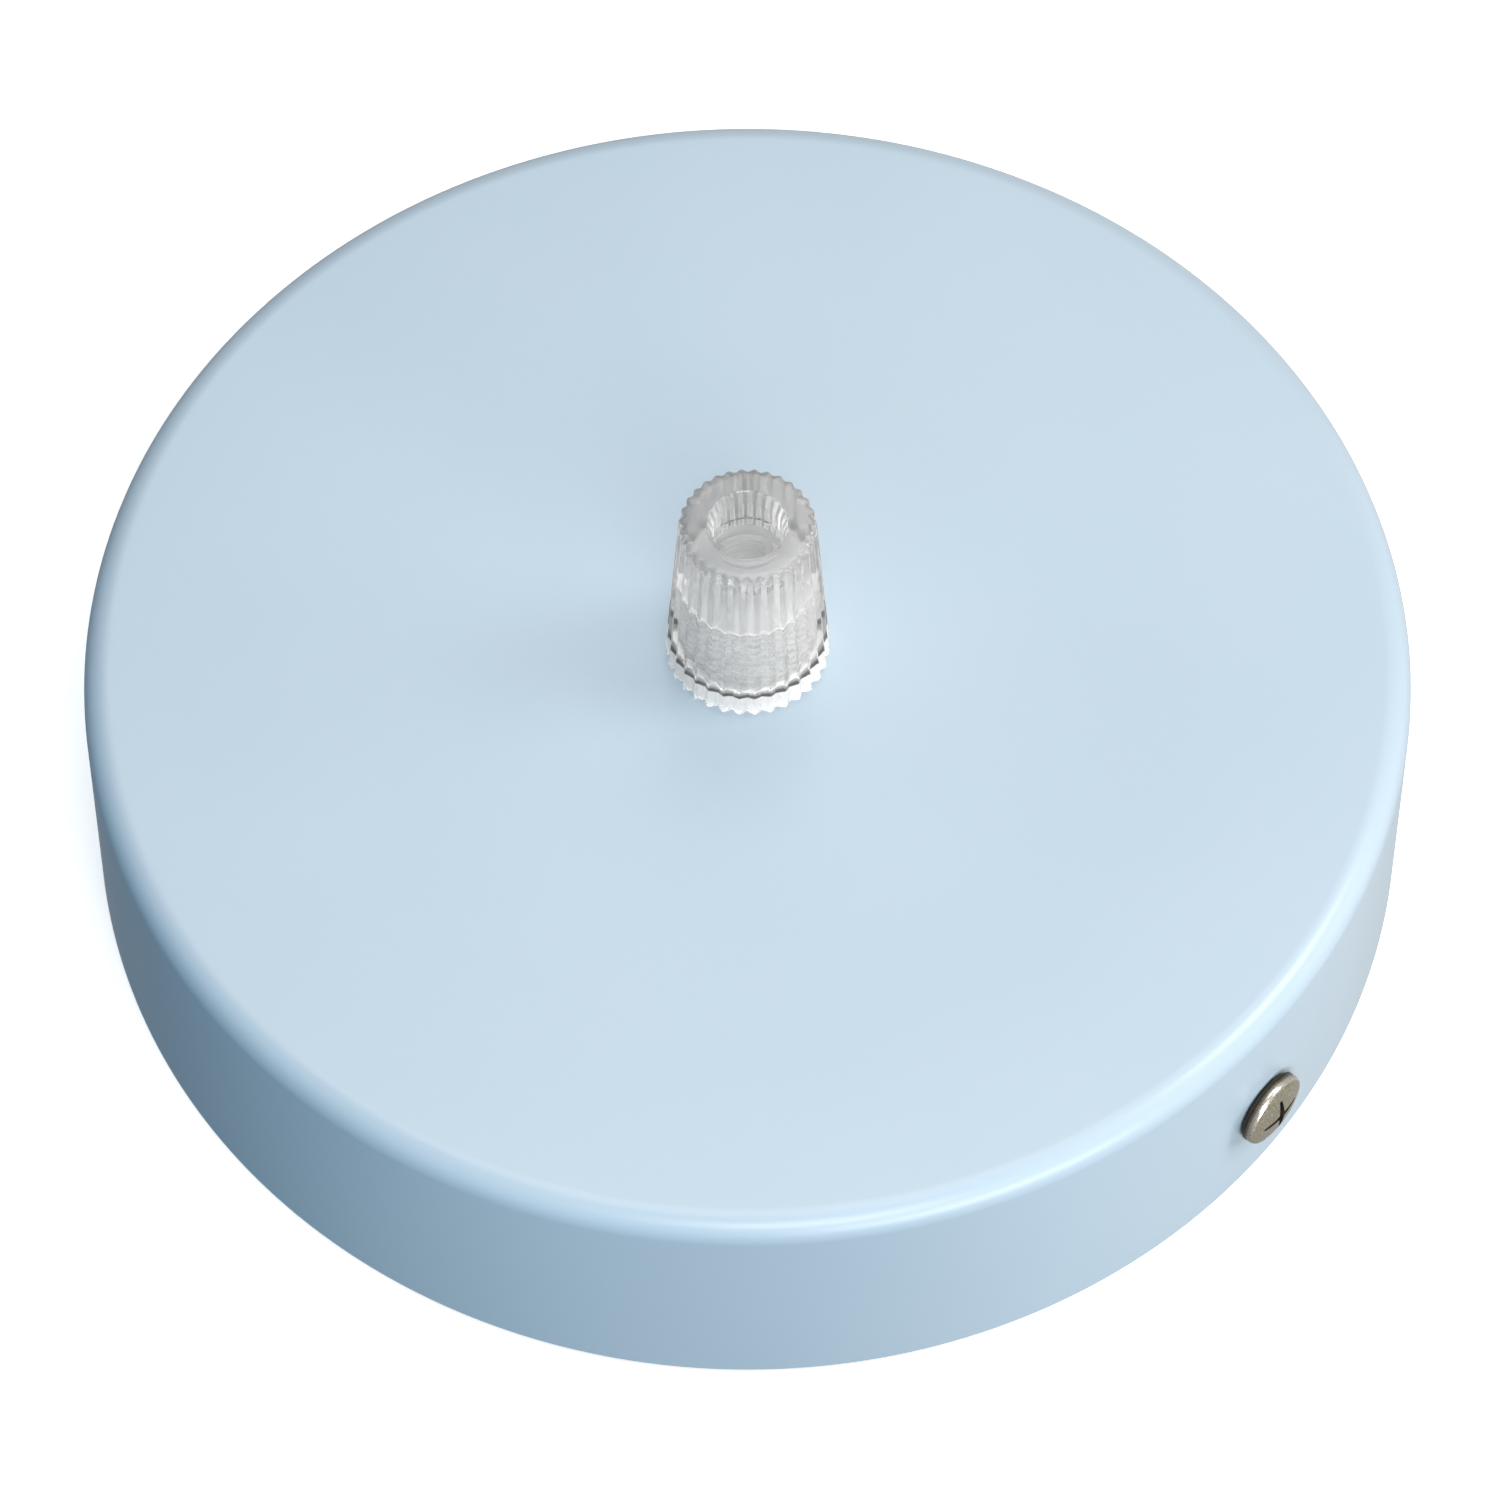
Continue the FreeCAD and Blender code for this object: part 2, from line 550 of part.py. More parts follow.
def make_gland_nut(doc):
    """The hexagon nut under the cup's top, with chamfered corners on both faces."""
    level = f"{COVER_INNER_HEIGHT} - Dims.washer_thickness - Dims.nut_height"
    body = make_body(doc, "gland_nut", ("0", "0", level))
    corner = "(Dims.nut_flats / sqrt(3))"

    hexagon = make_sketch(body, "hexagon")
    draw_lines(hexagon, [
        (corner, "0"),
        (f"{corner} / 2", "Dims.nut_flats / 2"),
        (f"-{corner} / 2", "Dims.nut_flats / 2"),
        (f"-{corner}", "0"),
        (f"-{corner} / 2", "-Dims.nut_flats / 2"),
        (f"{corner} / 2", "-Dims.nut_flats / 2"),
    ])
    add_pad(body, "block", hexagon, "Dims.nut_height")

    bore = make_sketch(body, "bore_circle")
    draw_circle(bore, "0", "0", STEM_HOLE)
    add_pocket(body, "bore", bore, backwards=True)

    flat = "(Dims.nut_flats / 2)"
    beyond = f"({corner} + Dims.nut_corner_rise)"
    # The chamfer's slope carries on past the hexagon's corner
    run_out = f"(Dims.nut_corner_rise * ({beyond} - {flat}) / ({corner} - {flat}))"
    for name, face, inwards in (("lower", "0", "1"), ("upper", "Dims.nut_height", "-1")):
        chamfer = make_sketch(body, f"{name}_chamfer", "XZ_Plane")
        outside = f"{face} - {inwards} * Dims.nut_corner_rise"
        draw_lines(chamfer, [
            (flat, face),
            (flat, outside),
            (beyond, outside),
            (beyond, f"{face} + {inwards} * {run_out}"),
        ])
        groove = body.newObject("PartDesign::Groove", f"gland_nut_{name}_corners")
        groove.Profile = chamfer
        groove.ReferenceAxis = (chamfer, ["V_Axis"])
        groove.Angle = 360
        doc.recompute()
    return body


def bracket_outline():
    """The flat strip seen from above, narrowed before each tab."""
    wide = "(Dims.bracket_width / 2)"
    narrow = "(Dims.tab_width / 2)"
    shoulder = f"({HALF_SPAN} - Dims.shoulder_run)"
    flank = f"({shoulder} - {wide} + {narrow})"
    quarter = [(HALF_SPAN, narrow), (shoulder, narrow), (flank, wide)]
    corners = []
    for across_sign, up_sign in ((1, 1), (-1, 1), (-1, -1), (1, -1)):
        part = quarter if across_sign == up_sign else quarter[::-1]
        for across, up in part:
            corners.append((f"{across_sign} * {across}", f"{up_sign} * {up}"))
    return corners


def add_tapped_collar(body, name, role, lift, across, up, radius, backwards=False):
    """A drawn collar round a tapped hole, standing on the sheet at lift."""
    ring = make_sketch(body, f"{name}_collar_circle", role, lift)
    draw_circle(ring, across, up, f"{radius} + Dims.tap_collar_wall")
    return add_pad(body, f"{name}_collar", ring, "Dims.tap_collar_height", backwards=backwards)


def make_bracket(doc):
    """The folded strip on the ceiling that carries the cup, the earth and the block."""
    body = make_body(doc, "bracket")
    sheet = "Dims.bracket_thickness"

    strip = make_sketch(body, "strip_outline")
    draw_lines(strip, bracket_outline())
    add_pad(body, "strip", strip, sheet)

    tabs = make_sketch(body, "tab_outline")
    half_tab = "Dims.tab_width / 2"
    inner_face = f"({HALF_SPAN} - {sheet})"
    draw_rectangle(tabs, inner_face, f"-{half_tab}", HALF_SPAN, half_tab)
    draw_rectangle(tabs, f"-{HALF_SPAN}", f"-{half_tab}", f"-{inner_face}", half_tab)
    add_pad(body, "tabs", tabs, "Dims.tab_height")

    span = size_of(strip, HALF_SPAN)
    thickness = size_of(strip, sheet)
    top = size_of(strip, "Dims.tab_height")
    across = Vector(0, 1, 0)
    lengthwise = Vector(1, 0, 0)

    def outer_bend(edge):
        centre = edge.CenterOfMass
        return along(edge, across) and near(abs(centre.x), span) and near(centre.z, 0)

    def inner_bend(edge):
        centre = edge.CenterOfMass
        inside = near(abs(centre.x), span - thickness)
        return along(edge, across) and inside and near(centre.z, thickness)

    def tab_corner(edge):
        return along(edge, lengthwise) and near(edge.CenterOfMass.z, top)

    add_fillet(body, "outer_bends", outer_bend, f"Dims.bend_radius + {sheet}")
    add_fillet(body, "inner_bends", inner_bend, "Dims.bend_radius")
    add_fillet(body, "tab_corners", tab_corner, "Dims.tab_corner_radius")

    height = "Dims.side_screw_height"
    right = add_tapped_collar(
        body, "right", "YZ_Plane", inner_face, "0", height, SIDE_TAP, backwards=True
    )
    add_mirror(body, "left_collar", [right], "YZ_Plane")
    add_tapped_collar(body, "earth", "XY_Plane", sheet, "Dims.earth_offset", "0", EARTH_TAP)

    side_taps = make_sketch(body, "side_tap_circle", "YZ_Plane")
    draw_circle(side_taps, "0", height, SIDE_TAP)
    add_pocket(body, "side_taps", side_taps, symmetric=True)

    holes = make_sketch(body, "hole_circles")
    draw_circle(holes, "0", "0", "Dims.centre_hole_radius")
    draw_circle(holes, "Dims.earth_offset", "0", EARTH_TAP)
    draw_circle(holes, "-Dims.terminal_offset", "Dims.pole_pitch / 2", FIXING_TAP)
    half_run = "(Dims.ceiling_slot_length - Dims.ceiling_slot_width) / 2"
    for side in SIDES:
        draw_slot(
            holes,
            f"{side} * Dims.ceiling_slot_spacing / 2",
            half_run,
            "Dims.ceiling_slot_width / 2",
        )
    add_pocket(body, "holes", holes, backwards=True)
    return body


def make_screw(doc, label, place, rotation, sizes, recess, edges=None):
    """A domed screw along its own Z, head up, with its place under the head.

    sizes holds expressions for the radius, the length, and the head's radius,
    straight side and dome. recess is a cross or a slot with its sizes. edges
    holds the bevel under the head and the rounding between its side and dome.
    """
    body = make_body(doc, label, place, rotation)
    radius, length, head, side, dome = sizes
    lead = f"({radius} / 4)"
    section = make_sketch(body, "section", "XZ_Plane")
    corners = [
        ("0", f"-({length})"),
        (f"{radius} - {lead}", f"-({length})"),
        (radius, f"{lead} - ({length})"),
        (radius, "0"),
    ]
    if edges:
        bevel, rounding = edges
        corners += [(f"{head} - {bevel}", "0"), (head, bevel), (head, side)]
    else:
        corners += [(head, "0"), (head, side)]
    draw_domed_half(section, corners, dome)
    add_revolution(body, "turned", section)
    if edges:
        level = size_of(section, side)
        reach = size_of(section, head)
        add_fillet(body, "head_edge", lambda edge: is_rim(edge, level, reach), rounding)

    kind, reach, half_width, depth = recess
    mark = make_sketch(body, "recess_outline", lift=f"{side} + {dome}")
    if kind == "cross":
        draw_cross(mark, reach, half_width)
    else:
        draw_rectangle(mark, f"-({half_width})", f"-({reach})", half_width, reach)
    add_pocket(body, "recess", mark, depth)
    return body


def make_side_screw(doc, label, side):
    """One of the two screws that hold the cup to the bracket's tabs."""
    sizes = (
        "Dims.side_screw_radius",
        "Dims.side_screw_length",
        "Dims.side_head_radius",
        "Dims.side_head_side",
        "Dims.side_head_dome",
    )
    recess = (
        "cross",
        "Dims.side_recess_arm",
        "Dims.side_recess_width / 2",
        "Dims.side_recess_depth",
    )
    reach = f"{side} * (Dims.cover_radius + Dims.side_head_gap)"
    place = (reach, "0", "Dims.side_screw_height")
    outwards = Rotation(Vector(0, 1, 0), 90 * side)
    edges = ("Dims.side_head_bevel", "Dims.side_head_rounding")
    return make_screw(doc, label, place, outwards, sizes, recess, edges)


def make_earth_parts(doc):
    """The earth screw on the bracket with its two washers."""
    hole = "Dims.earth_screw_radius + Dims.earth_washer_gap"
    clamp_top = f"({EARTH_SEAT} + Dims.clamp_washer_thickness)"
    head_seat = f"({clamp_top} + Dims.lock_washer_thickness)"

    place = ("Dims.earth_offset", "0", EARTH_SEAT)
    thickness = "Dims.clamp_washer_thickness"
    clamp = make_ring(doc, "earth_clamp_washer", place, "Dims.clamp_washer_radius", hole, thickness)

    place = ("Dims.earth_offset", "0", clamp_top)
    thickness = "Dims.lock_washer_thickness"
    lock = make_ring(doc, "earth_lock_washer", place, "Dims.lock_washer_radius", hole, thickness)
    split = make_sketch(lock, "split_outline")
    half_split = "Dims.lock_washer_split / 2"
    draw_rectangle(split, "0", f"-{half_split}", "2 * Dims.lock_washer_radius", half_split)
    add_pocket(lock, "split", split, backwards=True)

    sizes = (
        "Dims.earth_screw_radius",
        f"{head_seat} - Dims.tip_clearance",
        "Dims.earth_head_radius",
        "Dims.earth_head_side",
        "Dims.earth_head_dome",
    )
    recess = ("cross", "Dims.earth_screw_radius", "Dims.recess_width / 2", "Dims.recess_depth")
    place = ("Dims.earth_offset", "0", head_seat)
    screw = make_screw(doc, "earth_screw", place, None, sizes, recess)
    return [clamp, lock, screw]


def pole_across(pole):
    return f"{pole} * Dims.pole_pitch"


def make_terminal_housing(doc):
    """The moulded block: three barrels in a row on a web, with screw towers."""
    place = ("-Dims.terminal_offset", "0", "Dims.bracket_thickness")
    body = make_body(doc, "terminal_housing", place)
    axis = "Dims.barrel_height"

    web = make_sketch(body, "web_outline")
    half_web = "Dims.web_width / 2"
    end = "(Dims.pole_pitch + Dims.barrel_radius / 2)"
    draw_rectangle(web, f"-{half_web}", f"-{end}", half_web, end)
    add_pad(body, "web", web, "Dims.web_height")

    barrels = make_sketch(body, "barrel_circles", "YZ_Plane")
    for pole in POLES:
        draw_circle(barrels, "0" if pole == 0 else pole_across(pole), axis, "Dims.barrel_radius")
    add_pad(body, "barrels", barrels, "Dims.barrel_length", symmetric=True)

    towers = make_sketch(body, "tower_circles", lift=axis)
    wells = [(side, pole) for side in SIDES for pole in POLES]
    for side, pole in wells:
        across = f"{side} * {CHIMNEY_OFFSET}"
        draw_circle(towers, across, "0" if pole == 0 else pole_across(pole), "Dims.chimney_radius")
    add_pad(body, "towers", towers, f"Dims.chimney_height - {axis}")

    bosses = make_sketch(body, "boss_circles")
    for side in SIDES:
        draw_circle(bosses, "0", f"{side} * Dims.pole_pitch / 2", "Dims.boss_radius")
    add_pad(body, "bosses", bosses, "Dims.boss_height")

    tunnels = make_sketch(body, "tunnel_circles", "YZ_Plane")
    tunnel = "Dims.clamp_radius + Dims.clamp_gap"
    for pole in POLES:
        draw_circle(tunnels, "0" if pole == 0 else pole_across(pole), axis, tunnel)
    add_pocket(body, "tunnels", tunnels, symmetric=True)

    shafts = make_sketch(body, "well_circles", lift=axis)
    for side, pole in wells:
        across = f"{side} * {CHIMNEY_OFFSET}"
        draw_circle(shafts, across, "0" if pole == 0 else pole_across(pole), CHIMNEY_WELL)
    add_pocket(body, "wells", shafts, backwards=True)

    fixings = make_sketch(body, "fixing_circles")
    for side in SIDES:
        radius = "Dims.fixing_screw_radius + Dims.fixing_hole_gap"
        draw_circle(fixings, "0", f"{side} * Dims.pole_pitch / 2", radius)
    add_pocket(body, "fixing_holes", fixings, backwards=True)
    return body


def make_terminal_clamp(doc, label, pole):
    """A brass tube in one pole, with two tapped holes in its upper wall."""
    place = (
        "-Dims.terminal_offset",
        "0" if pole == 0 else pole_across(pole),
        "Dims.bracket_thickness + Dims.barrel_height",
    )
    body = make_body(doc, label, place)
    tube = make_sketch(body, "tube_circles", "YZ_Plane")
    draw_circle(tube, "0", "0", "Dims.clamp_radius")
    draw_circle(tube, "0", "0", "Dims.clamp_bore_radius")
    add_pad(body, "tube", tube, "Dims.barrel_length - 2 * Dims.clamp_recess", symmetric=True)
    taps = make_sketch(body, "tap_circles")
    for side in SIDES:
        radius = "Dims.terminal_screw_radius + Dims.thread_gap"
        draw_circle(taps, f"{side} * {CHIMNEY_OFFSET}", "0", radius)
    add_pocket(body, "taps", taps, backwards=True)
    return body


def make_terminal_screw(doc, label, side, pole):
    """A slotted screw in its tower, backed off just clear of the wire bore."""
    seat = (
        "Dims.bracket_thickness + Dims.barrel_height + Dims.clamp_bore_radius"
        " + Dims.terminal_tip_lift + Dims.terminal_screw_length"
    )
    place = (
        f"{side} * {CHIMNEY_OFFSET} - Dims.terminal_offset",
        "0" if pole == 0 else pole_across(pole),
        seat,
    )
    head = f"({CHIMNEY_WELL} - Dims.terminal_head_gap)"
    sizes = (
        "Dims.terminal_screw_radius",
        "Dims.terminal_screw_length",
        head,
        "Dims.terminal_head_side",
        "Dims.terminal_head_dome",
    )
    recess = ("slot", f"2 * {head}", "Dims.terminal_slot_width / 2", "Dims.terminal_slot_depth")
    return make_screw(doc, label, place, None, sizes, recess)


def make_fixing_screw(doc):
    """The screw that holds the terminal block to the bracket."""
    head_seat = "(Dims.bracket_thickness + Dims.boss_height)"
    sizes = (
        "Dims.fixing_screw_radius",
        f"{head_seat} - Dims.tip_clearance",
        "Dims.fixing_head_radius",
        "Dims.fixing_head_side",
        "Dims.fixing_head_dome",
    )
    recess = ("cross", "Dims.fixing_screw_radius", "Dims.recess_width / 2", "Dims.recess_depth")
    place = ("-Dims.terminal_offset", "Dims.pole_pitch / 2", head_seat)
    return make_screw(doc, "terminal_fixing_screw", place, None, sizes, recess)


def make_terminal_parts(doc):
    parts = [make_terminal_housing(doc)]
    poles = {-1: "front", 0: "middle", 1: "back"}
    columns = {-1: "outer", 1: "inner"}
    for pole, name in poles.items():
        parts.append(make_terminal_clamp(doc, f"terminal_clamp_{name}", pole))
        for side, column in columns.items():
            parts.append(make_terminal_screw(doc, f"terminal_screw_{name}_{column}", side, pole))
    parts.append(make_fixing_screw(doc))
    return parts


def check_document(doc, parts):
    """Stop if any object failed, or if a part is not one valid solid."""
    for item in doc.Objects:
        if "Invalid" in item.State or "Error" in item.State:
            raise RuntimeError(f"{item.Name} failed: {item.State}")
    for part in parts:
        shape = part.Shape
        if shape.isNull() or not shape.isValid() or len(shape.Solids) != 1:
            raise RuntimeError(f"{part.Label} is not one valid solid")


def main():
    doc = FreeCAD.newDocument("ceiling_rose")
    make_sheet(doc)
    parts = [
        make_cover(doc),
        make_gland_cap(doc),
        make_gland_stem(doc),
        make_gland_washer(doc),
        make_gland_nut(doc),
        make_bracket(doc),
        make_side_screw(doc, "side_screw_right", 1),
        make_side_screw(doc, "side_screw_left", -1),
    ]
    parts += make_earth_parts(doc)
    parts += make_terminal_parts(doc)
    doc.recompute()
    check_document(doc, parts)

    os.makedirs("parts", exist_ok=True)
    for part in parts:
        part.Shape.exportStep(f"parts/{part.Label}.step")
        print(part.Label, round(part.Shape.Volume, 2), "mm3")


main()
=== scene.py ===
import json
import math

import bmesh
import bpy
from mathutils import Matrix, Vector


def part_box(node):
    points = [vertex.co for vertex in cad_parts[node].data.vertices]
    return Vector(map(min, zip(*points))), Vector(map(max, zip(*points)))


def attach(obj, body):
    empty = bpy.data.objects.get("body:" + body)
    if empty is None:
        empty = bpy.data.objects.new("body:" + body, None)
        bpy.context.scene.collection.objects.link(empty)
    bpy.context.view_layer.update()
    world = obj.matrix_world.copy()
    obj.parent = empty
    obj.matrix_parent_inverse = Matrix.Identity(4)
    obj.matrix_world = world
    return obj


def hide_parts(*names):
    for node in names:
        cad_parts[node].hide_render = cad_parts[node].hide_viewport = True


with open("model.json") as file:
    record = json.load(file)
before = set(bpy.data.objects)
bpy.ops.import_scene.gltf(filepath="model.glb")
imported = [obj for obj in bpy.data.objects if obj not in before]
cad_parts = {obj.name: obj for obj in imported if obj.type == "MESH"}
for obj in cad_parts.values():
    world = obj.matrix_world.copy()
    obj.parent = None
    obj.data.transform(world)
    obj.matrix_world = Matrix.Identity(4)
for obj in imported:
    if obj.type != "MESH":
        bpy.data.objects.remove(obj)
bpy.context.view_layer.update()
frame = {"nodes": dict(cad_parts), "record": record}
nodes = frame["nodes"]

MM = 0.001
MERGE_DISTANCE = 1e-7

# Sizes read from the solids' boxes
COVER_LOW, COVER_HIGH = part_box("cover")
COVER_RADIUS = COVER_HIGH.x
COVER_TOP = COVER_HIGH.z
CAP_LOW, CAP_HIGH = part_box("gland_cap")
STEM_LOW, STEM_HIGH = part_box("gland_stem")
SCREW_LOW, SCREW_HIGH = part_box("side_screw_right")
SCREW_AXIS_Z = (SCREW_LOW.z + SCREW_HIGH.z) / 2
SCREW_HEAD_RADIUS = (SCREW_HIGH.z - SCREW_LOW.z) / 2

# The cup: its sheet, edge, holes, and the rings that its flat face is split at
COVER_WALL = 1.0 * MM
COVER_EDGE_RADIUS = 2.5 * MM
COVER_DEBURR = 0.12 * MM
COVER_RINGS = (40 * MM, 20 * MM, 8 * MM)
COVER_EDGE_STEPS = 14
COVER_INNER_STEPS = 10
COVER_SEGMENTS = 288
COVER_SHARP = 24
CORD_HOLE_RADIUS = 5.15 * MM
SIDE_HOLE_RADIUS = 2.25 * MM
HOLE_OVERRUN = 2 * MM
HOLE_SEGMENTS = 48

# The gland cap's ribs. Angles and flanks are shares of the step from rib to rib
CAP_FOOT_RADIUS = 7.4 * MM
CAP_FOOT_EASE = 0.04 * MM
CAP_TOP_RADIUS = 6.1 * MM
RIB_COUNT = 32
RIB_STEP = 2 * math.pi / RIB_COUNT
RIB_COLUMNS = (-0.06, 0.06, 0.18, 0.31, 0.44, 0.56, 0.69, 0.82)
RIB_LAND = 0.06
RIB_FLANK = 0.38
RIB_DEPTH = 0.42 * MM
RIB_TOP_DEPTH = 0.26 * MM
RIB_FADE = 0.9
RIB_LEVELS = (0.003, 0.2, 0.4, 0.6, 0.8)
CAP_TOP_ROUND = 0.4 * MM
CAP_TOP_REACH = 0.95 * MM
CAP_ROUND_STEPS = 6

# The cap's inside, from the skirt up. The ledge over the skirt shows as a dark line of painted
# shadow: a near-black ring with a grey ring of painted shade inside it
CAP_SKIRT_RADIUS = 6.6 * MM
CAP_SKIRT_HEIGHT = 1.9 * MM
LEDGE_PAINTED_SHADOW = 0.6 * MM
LEDGE_PAINTED_SHADE = 0.45 * MM
GLAND_THREAD_RADIUS = 5.0 * MM
GLAND_PITCH = 1.0 * MM
GLAND_SHARP = 20
THREAD_DEPTH = 0.06 * MM
THREAD_STEPS = 8
CAP_BORE_RADIUS = 5.05 * MM
CAP_THREAD_HEIGHT = 10.5 * MM
CAP_SHOULDER_RADIUS = 4.7 * MM
CAP_THROAT_RADIUS = 3.05 * MM
CAP_THROAT_LENGTH = 0.9 * MM
CAP_MOUTH_RADIUS = 3.68 * MM
CAP_MOUTH_DISH = 0.1 * MM
CAP_MOUTH_BEVEL = 0.1 * MM
CAP_MOUTH_FLARE = 1.2 * MM
CAP_MOUTH_BORE = 3.2 * MM
CAP_MOUTH_DEPTH = 3.6 * MM

# The gland stem: its collar, thread and collet
STEM_COLUMNS = 128
STEM_BORE_RADIUS = 3.0 * MM
STEM_LEAD = 0.3 * MM
COLLAR_RADIUS = 6.3 * MM
COLLAR_HEIGHT = 1.1 * MM
COLLAR_BEVEL = 0.15 * MM
STEM_THREAD_HEIGHT = 10.55 * MM
FINGER_ROOT_RADIUS = 4.5 * MM
FINGER_TIP_RADIUS = 3.59 * MM
TOOTH_COUNT = 3
TOOTH_DEPTH = 0.25 * MM
TOOTH_PITCH = 1.1 * MM
TOOTH_START = 0.5 * MM
SLIT_WIDTH = 1.0 * MM
SLIT_RUN = 1.5 * MM
SLIT_OVERRUN = 1 * MM

# The side screws. HEAD_SHADE is where the painted shade on the head next to the wall ends
SCREW_COLUMNS = 96
SCREW_SHARP = 18
SCREW_RADIUS = 2.0 * MM
SCREW_PITCH = 0.7 * MM
SCREW_THREAD_DEPTH = 0.35 * MM
SCREW_POINT_DEPTH = 1.4 * SCREW_THREAD_DEPTH
HEAD_SIDE = 1.25 * MM
HEAD_DOME = 0.74 * MM
HEAD_ROUNDING = 0.7 * MM
HEAD_RIM_TURN = 44
HEAD_BEVEL = 0.3 * MM
HEAD_SHADE = 0.45 * MM
HEAD_GAP = 0.05 * MM
RIM_STEPS = 6
DOME_STEPS = 10
RECESS_ARM = 2.3 * MM
RECESS_WIDTH = 0.7 * MM
RECESS_END_SHARE = 0.5
RECESS_DEPTH = 1.5 * MM
RECESS_OVERRUN = 0.6 * MM

# Levels of the cross recess: height over the dome, then shares of depth, arm and width
RECESS_LEVELS = (
    (RECESS_OVERRUN, 0.0, 1.25, 1.15),
    (0.0, 0.55, 0.78, 0.8),
    (0.0, 1.0, 0.3, 0.45),
)

# The photograph's camera, from a fit to the cup's outlines in its 1500 px frame
IMAGE_SIZE = 1500
CAMERA_AZIMUTH = math.radians(39.77)
CAMERA_ELEVATION = math.radians(57.34)
CAMERA_DISTANCE = 0.7608
CAMERA_FOCAL_PX = 8312
CAMERA_AXIS_PX = (747.6, 726.2)
CAMERA_CLIP = (0.01, 20.0)
SENSOR_MM = 36.0

FLOOR_HALF = 6.0
FLOOR_DROP = 0.2 * MM
FLOOR_GLOW = 0.5

# The surroundings brighten towards one side. A patch below the left wall is dimmer.
# Directions: degrees from behind the rose clockwise as seen from above, and height
WORLD_BRIGHT_SIDE = (80, 50)
WORLD_DARK = 0.57
WORLD_LIGHT = 0.78
WORLD_RAMP = (0.15, 0.75)
WORLD_PATCH_SIDE = (285, -55)
WORLD_PATCH_REACH = 60
WORLD_PATCH_GAIN = 0.52

# Soft lights: direction, height, size, power and tint
LIGHT_DISTANCE = 1.5
WHITE = (1.0, 1.0, 1.0)
SKY = (0.0, 0.56, 1.0)
LIGHTS = {
    "back_left": (320, 62, (0.9, 0.9), 2.0, WHITE),
    "back_right": (25, 58, (0.9, 0.8), 3.7, WHITE),
    "overhead": (0, 86, (0.9, 0.9), 7.0, WHITE),
    "front": (170, 42, (0.7, 0.5), 8.6, WHITE),
    "front_low": (150, 10, (1.1, 0.5), 12.9, WHITE),
    "right": (88, 48, (0.45, 0.45), 7.6, WHITE),
    "right_low": (85, 8, (0.7, 0.4), 10.0, WHITE),
    "fill_left": (285, 12, (1.2, 0.6), 2.8, SKY),
    "fill_front": (200, 12, (1.2, 0.6), 5.4, SKY),
}

# Lights that show as no highlight
UNREFLECTED = ("right_low", "fill_left", "fill_front")

# Clear plastics: name, clearness, lowest and highest roughness, and a shade if not 0.98
CLEAR_PLASTIC = ("clear", 0.97, (0.08, 0.16))
STEM_PLASTIC = ("stem", 0.88, (0.30, 0.45))
STEM_PASSED = 0.5

# The cap's other finishes, in the order of its material numbers from 1
CAP_PLASTICS = (
    ("frosted", 0.75, (0.12, 0.18), 0.56),
    ("cloudy", 0.75, (0.30, 0.40), 0.64),
    ("threaded", 0.75, (0.30, 0.40), 0.80),
    # Painted shade and painted shadow on the ledge over the skirt: a grey ring, then a near-black
    # ring
    ("grey", 0.1, (0.50, 0.60), 0.22),
    ("painted_shadow", 0.0, (0.50, 0.60), 0.01),
    # A white, cloudy skirt finish, a painted reflection of the bright surroundings
    ("milky_painted_reflection", 0.5, (0.30, 0.45), 0.95),
)

# Bronze plating: dark, middle and rubbed colour, lowest and highest roughness
AGED_BRONZE = (((0.26, 0.225, 0.155), (0.40, 0.36, 0.27), (0.60, 0.56, 0.46)), (0.28, 0.42))
# The rim: rubbed plating, lighter and smoother, which is also a painted highlight
WORN_AND_HIGHLIGHT_BRONZE = (((0.40, 0.38, 0.32), (0.56, 0.54, 0.47), (0.76, 0.74, 0.68)), (0.22, 0.28))
BRONZE_STOPS = (0.35, 0.50, 0.66)

# Painted shade on the plating, dark by the cup's wall and gone at the head's edge
PAINTED_WALL_SHADE = (
    (0.0, (0.02, 0.02, 0.02)),
    (0.2, (0.25, 0.24, 0.24)),
    (0.6, (0.66, 0.66, 0.68)),
    (1.0, (1.0, 1.0, 1.0)),
)


def link(mesh_object):
    bpy.context.scene.collection.objects.link(mesh_object)
    return mesh_object


def finish_mesh(bm, name, sharp_deg=COVER_SHARP):
    """A linked object from the bmesh, smooth except where faces meet at an angle."""
    bmesh.ops.recalc_face_normals(bm, faces=bm.faces)
    mesh = bpy.data.meshes.new(name)
    bm.to_mesh(mesh)
    bm.free()
    mesh.shade_smooth()
    mesh.set_sharp_from_angle(angle=math.radians(sharp_deg))
    return link(bpy.data.objects.new(name, mesh))


def tube_grid(bm, rows, columns, finishes=(), closed=True):
    """Faces between rows of vertices, each row a ring of points.

    rows holds functions from a column number to a point, and its last row joins
    its first where it is closed. finishes holds (first row, material number)
    pairs for the rows from there on.
    """
    rings = [[bm.verts.new(row(column)) for column in range(columns)] for row in rows]
    following_rings = rings[1:] + rings[:1] if closed else rings[1:]
    for number, (ring, following) in enumerate(zip(rings, following_rings)):
        finish = 0
        for first, material in finishes:
            if number >= first:
                finish = material
        for column in range(columns):
            after = (column + 1) % columns
            corners = (ring[column], ring[after], following[after], following[column])
            bm.faces.new(corners).material_index = finish


def ring_row(radius, height, angles):
    """A plain ring; radius may be a number or a function of the angle."""
    def point(column):
        angle = angles[column]
        reach = radius(angle) if callable(radius) else radius
        return Vector((reach * math.cos(angle), reach * math.sin(angle), height))
    return point


def even_angles(count):
    return [2 * math.pi * column / count for column in range(count)]


def arc_points(centre, radius, start_deg, end_deg, steps):
    """Points (radius from the axis, height) on an arc in a section."""
    points = []
    for step in range(steps + 1):
        angle = math.radians(start_deg + (end_deg - start_deg) * step / steps)
        reach = centre[0] + radius * math.cos(angle)
        points.append((reach, centre[1] + radius * math.sin(angle)))
    return points


def wave(turns):
    """A triangle wave of the number of turns: 0 on a crest and 1 in a root."""
    part = turns % 1.0
    return 1 - abs(2 * part - 1)


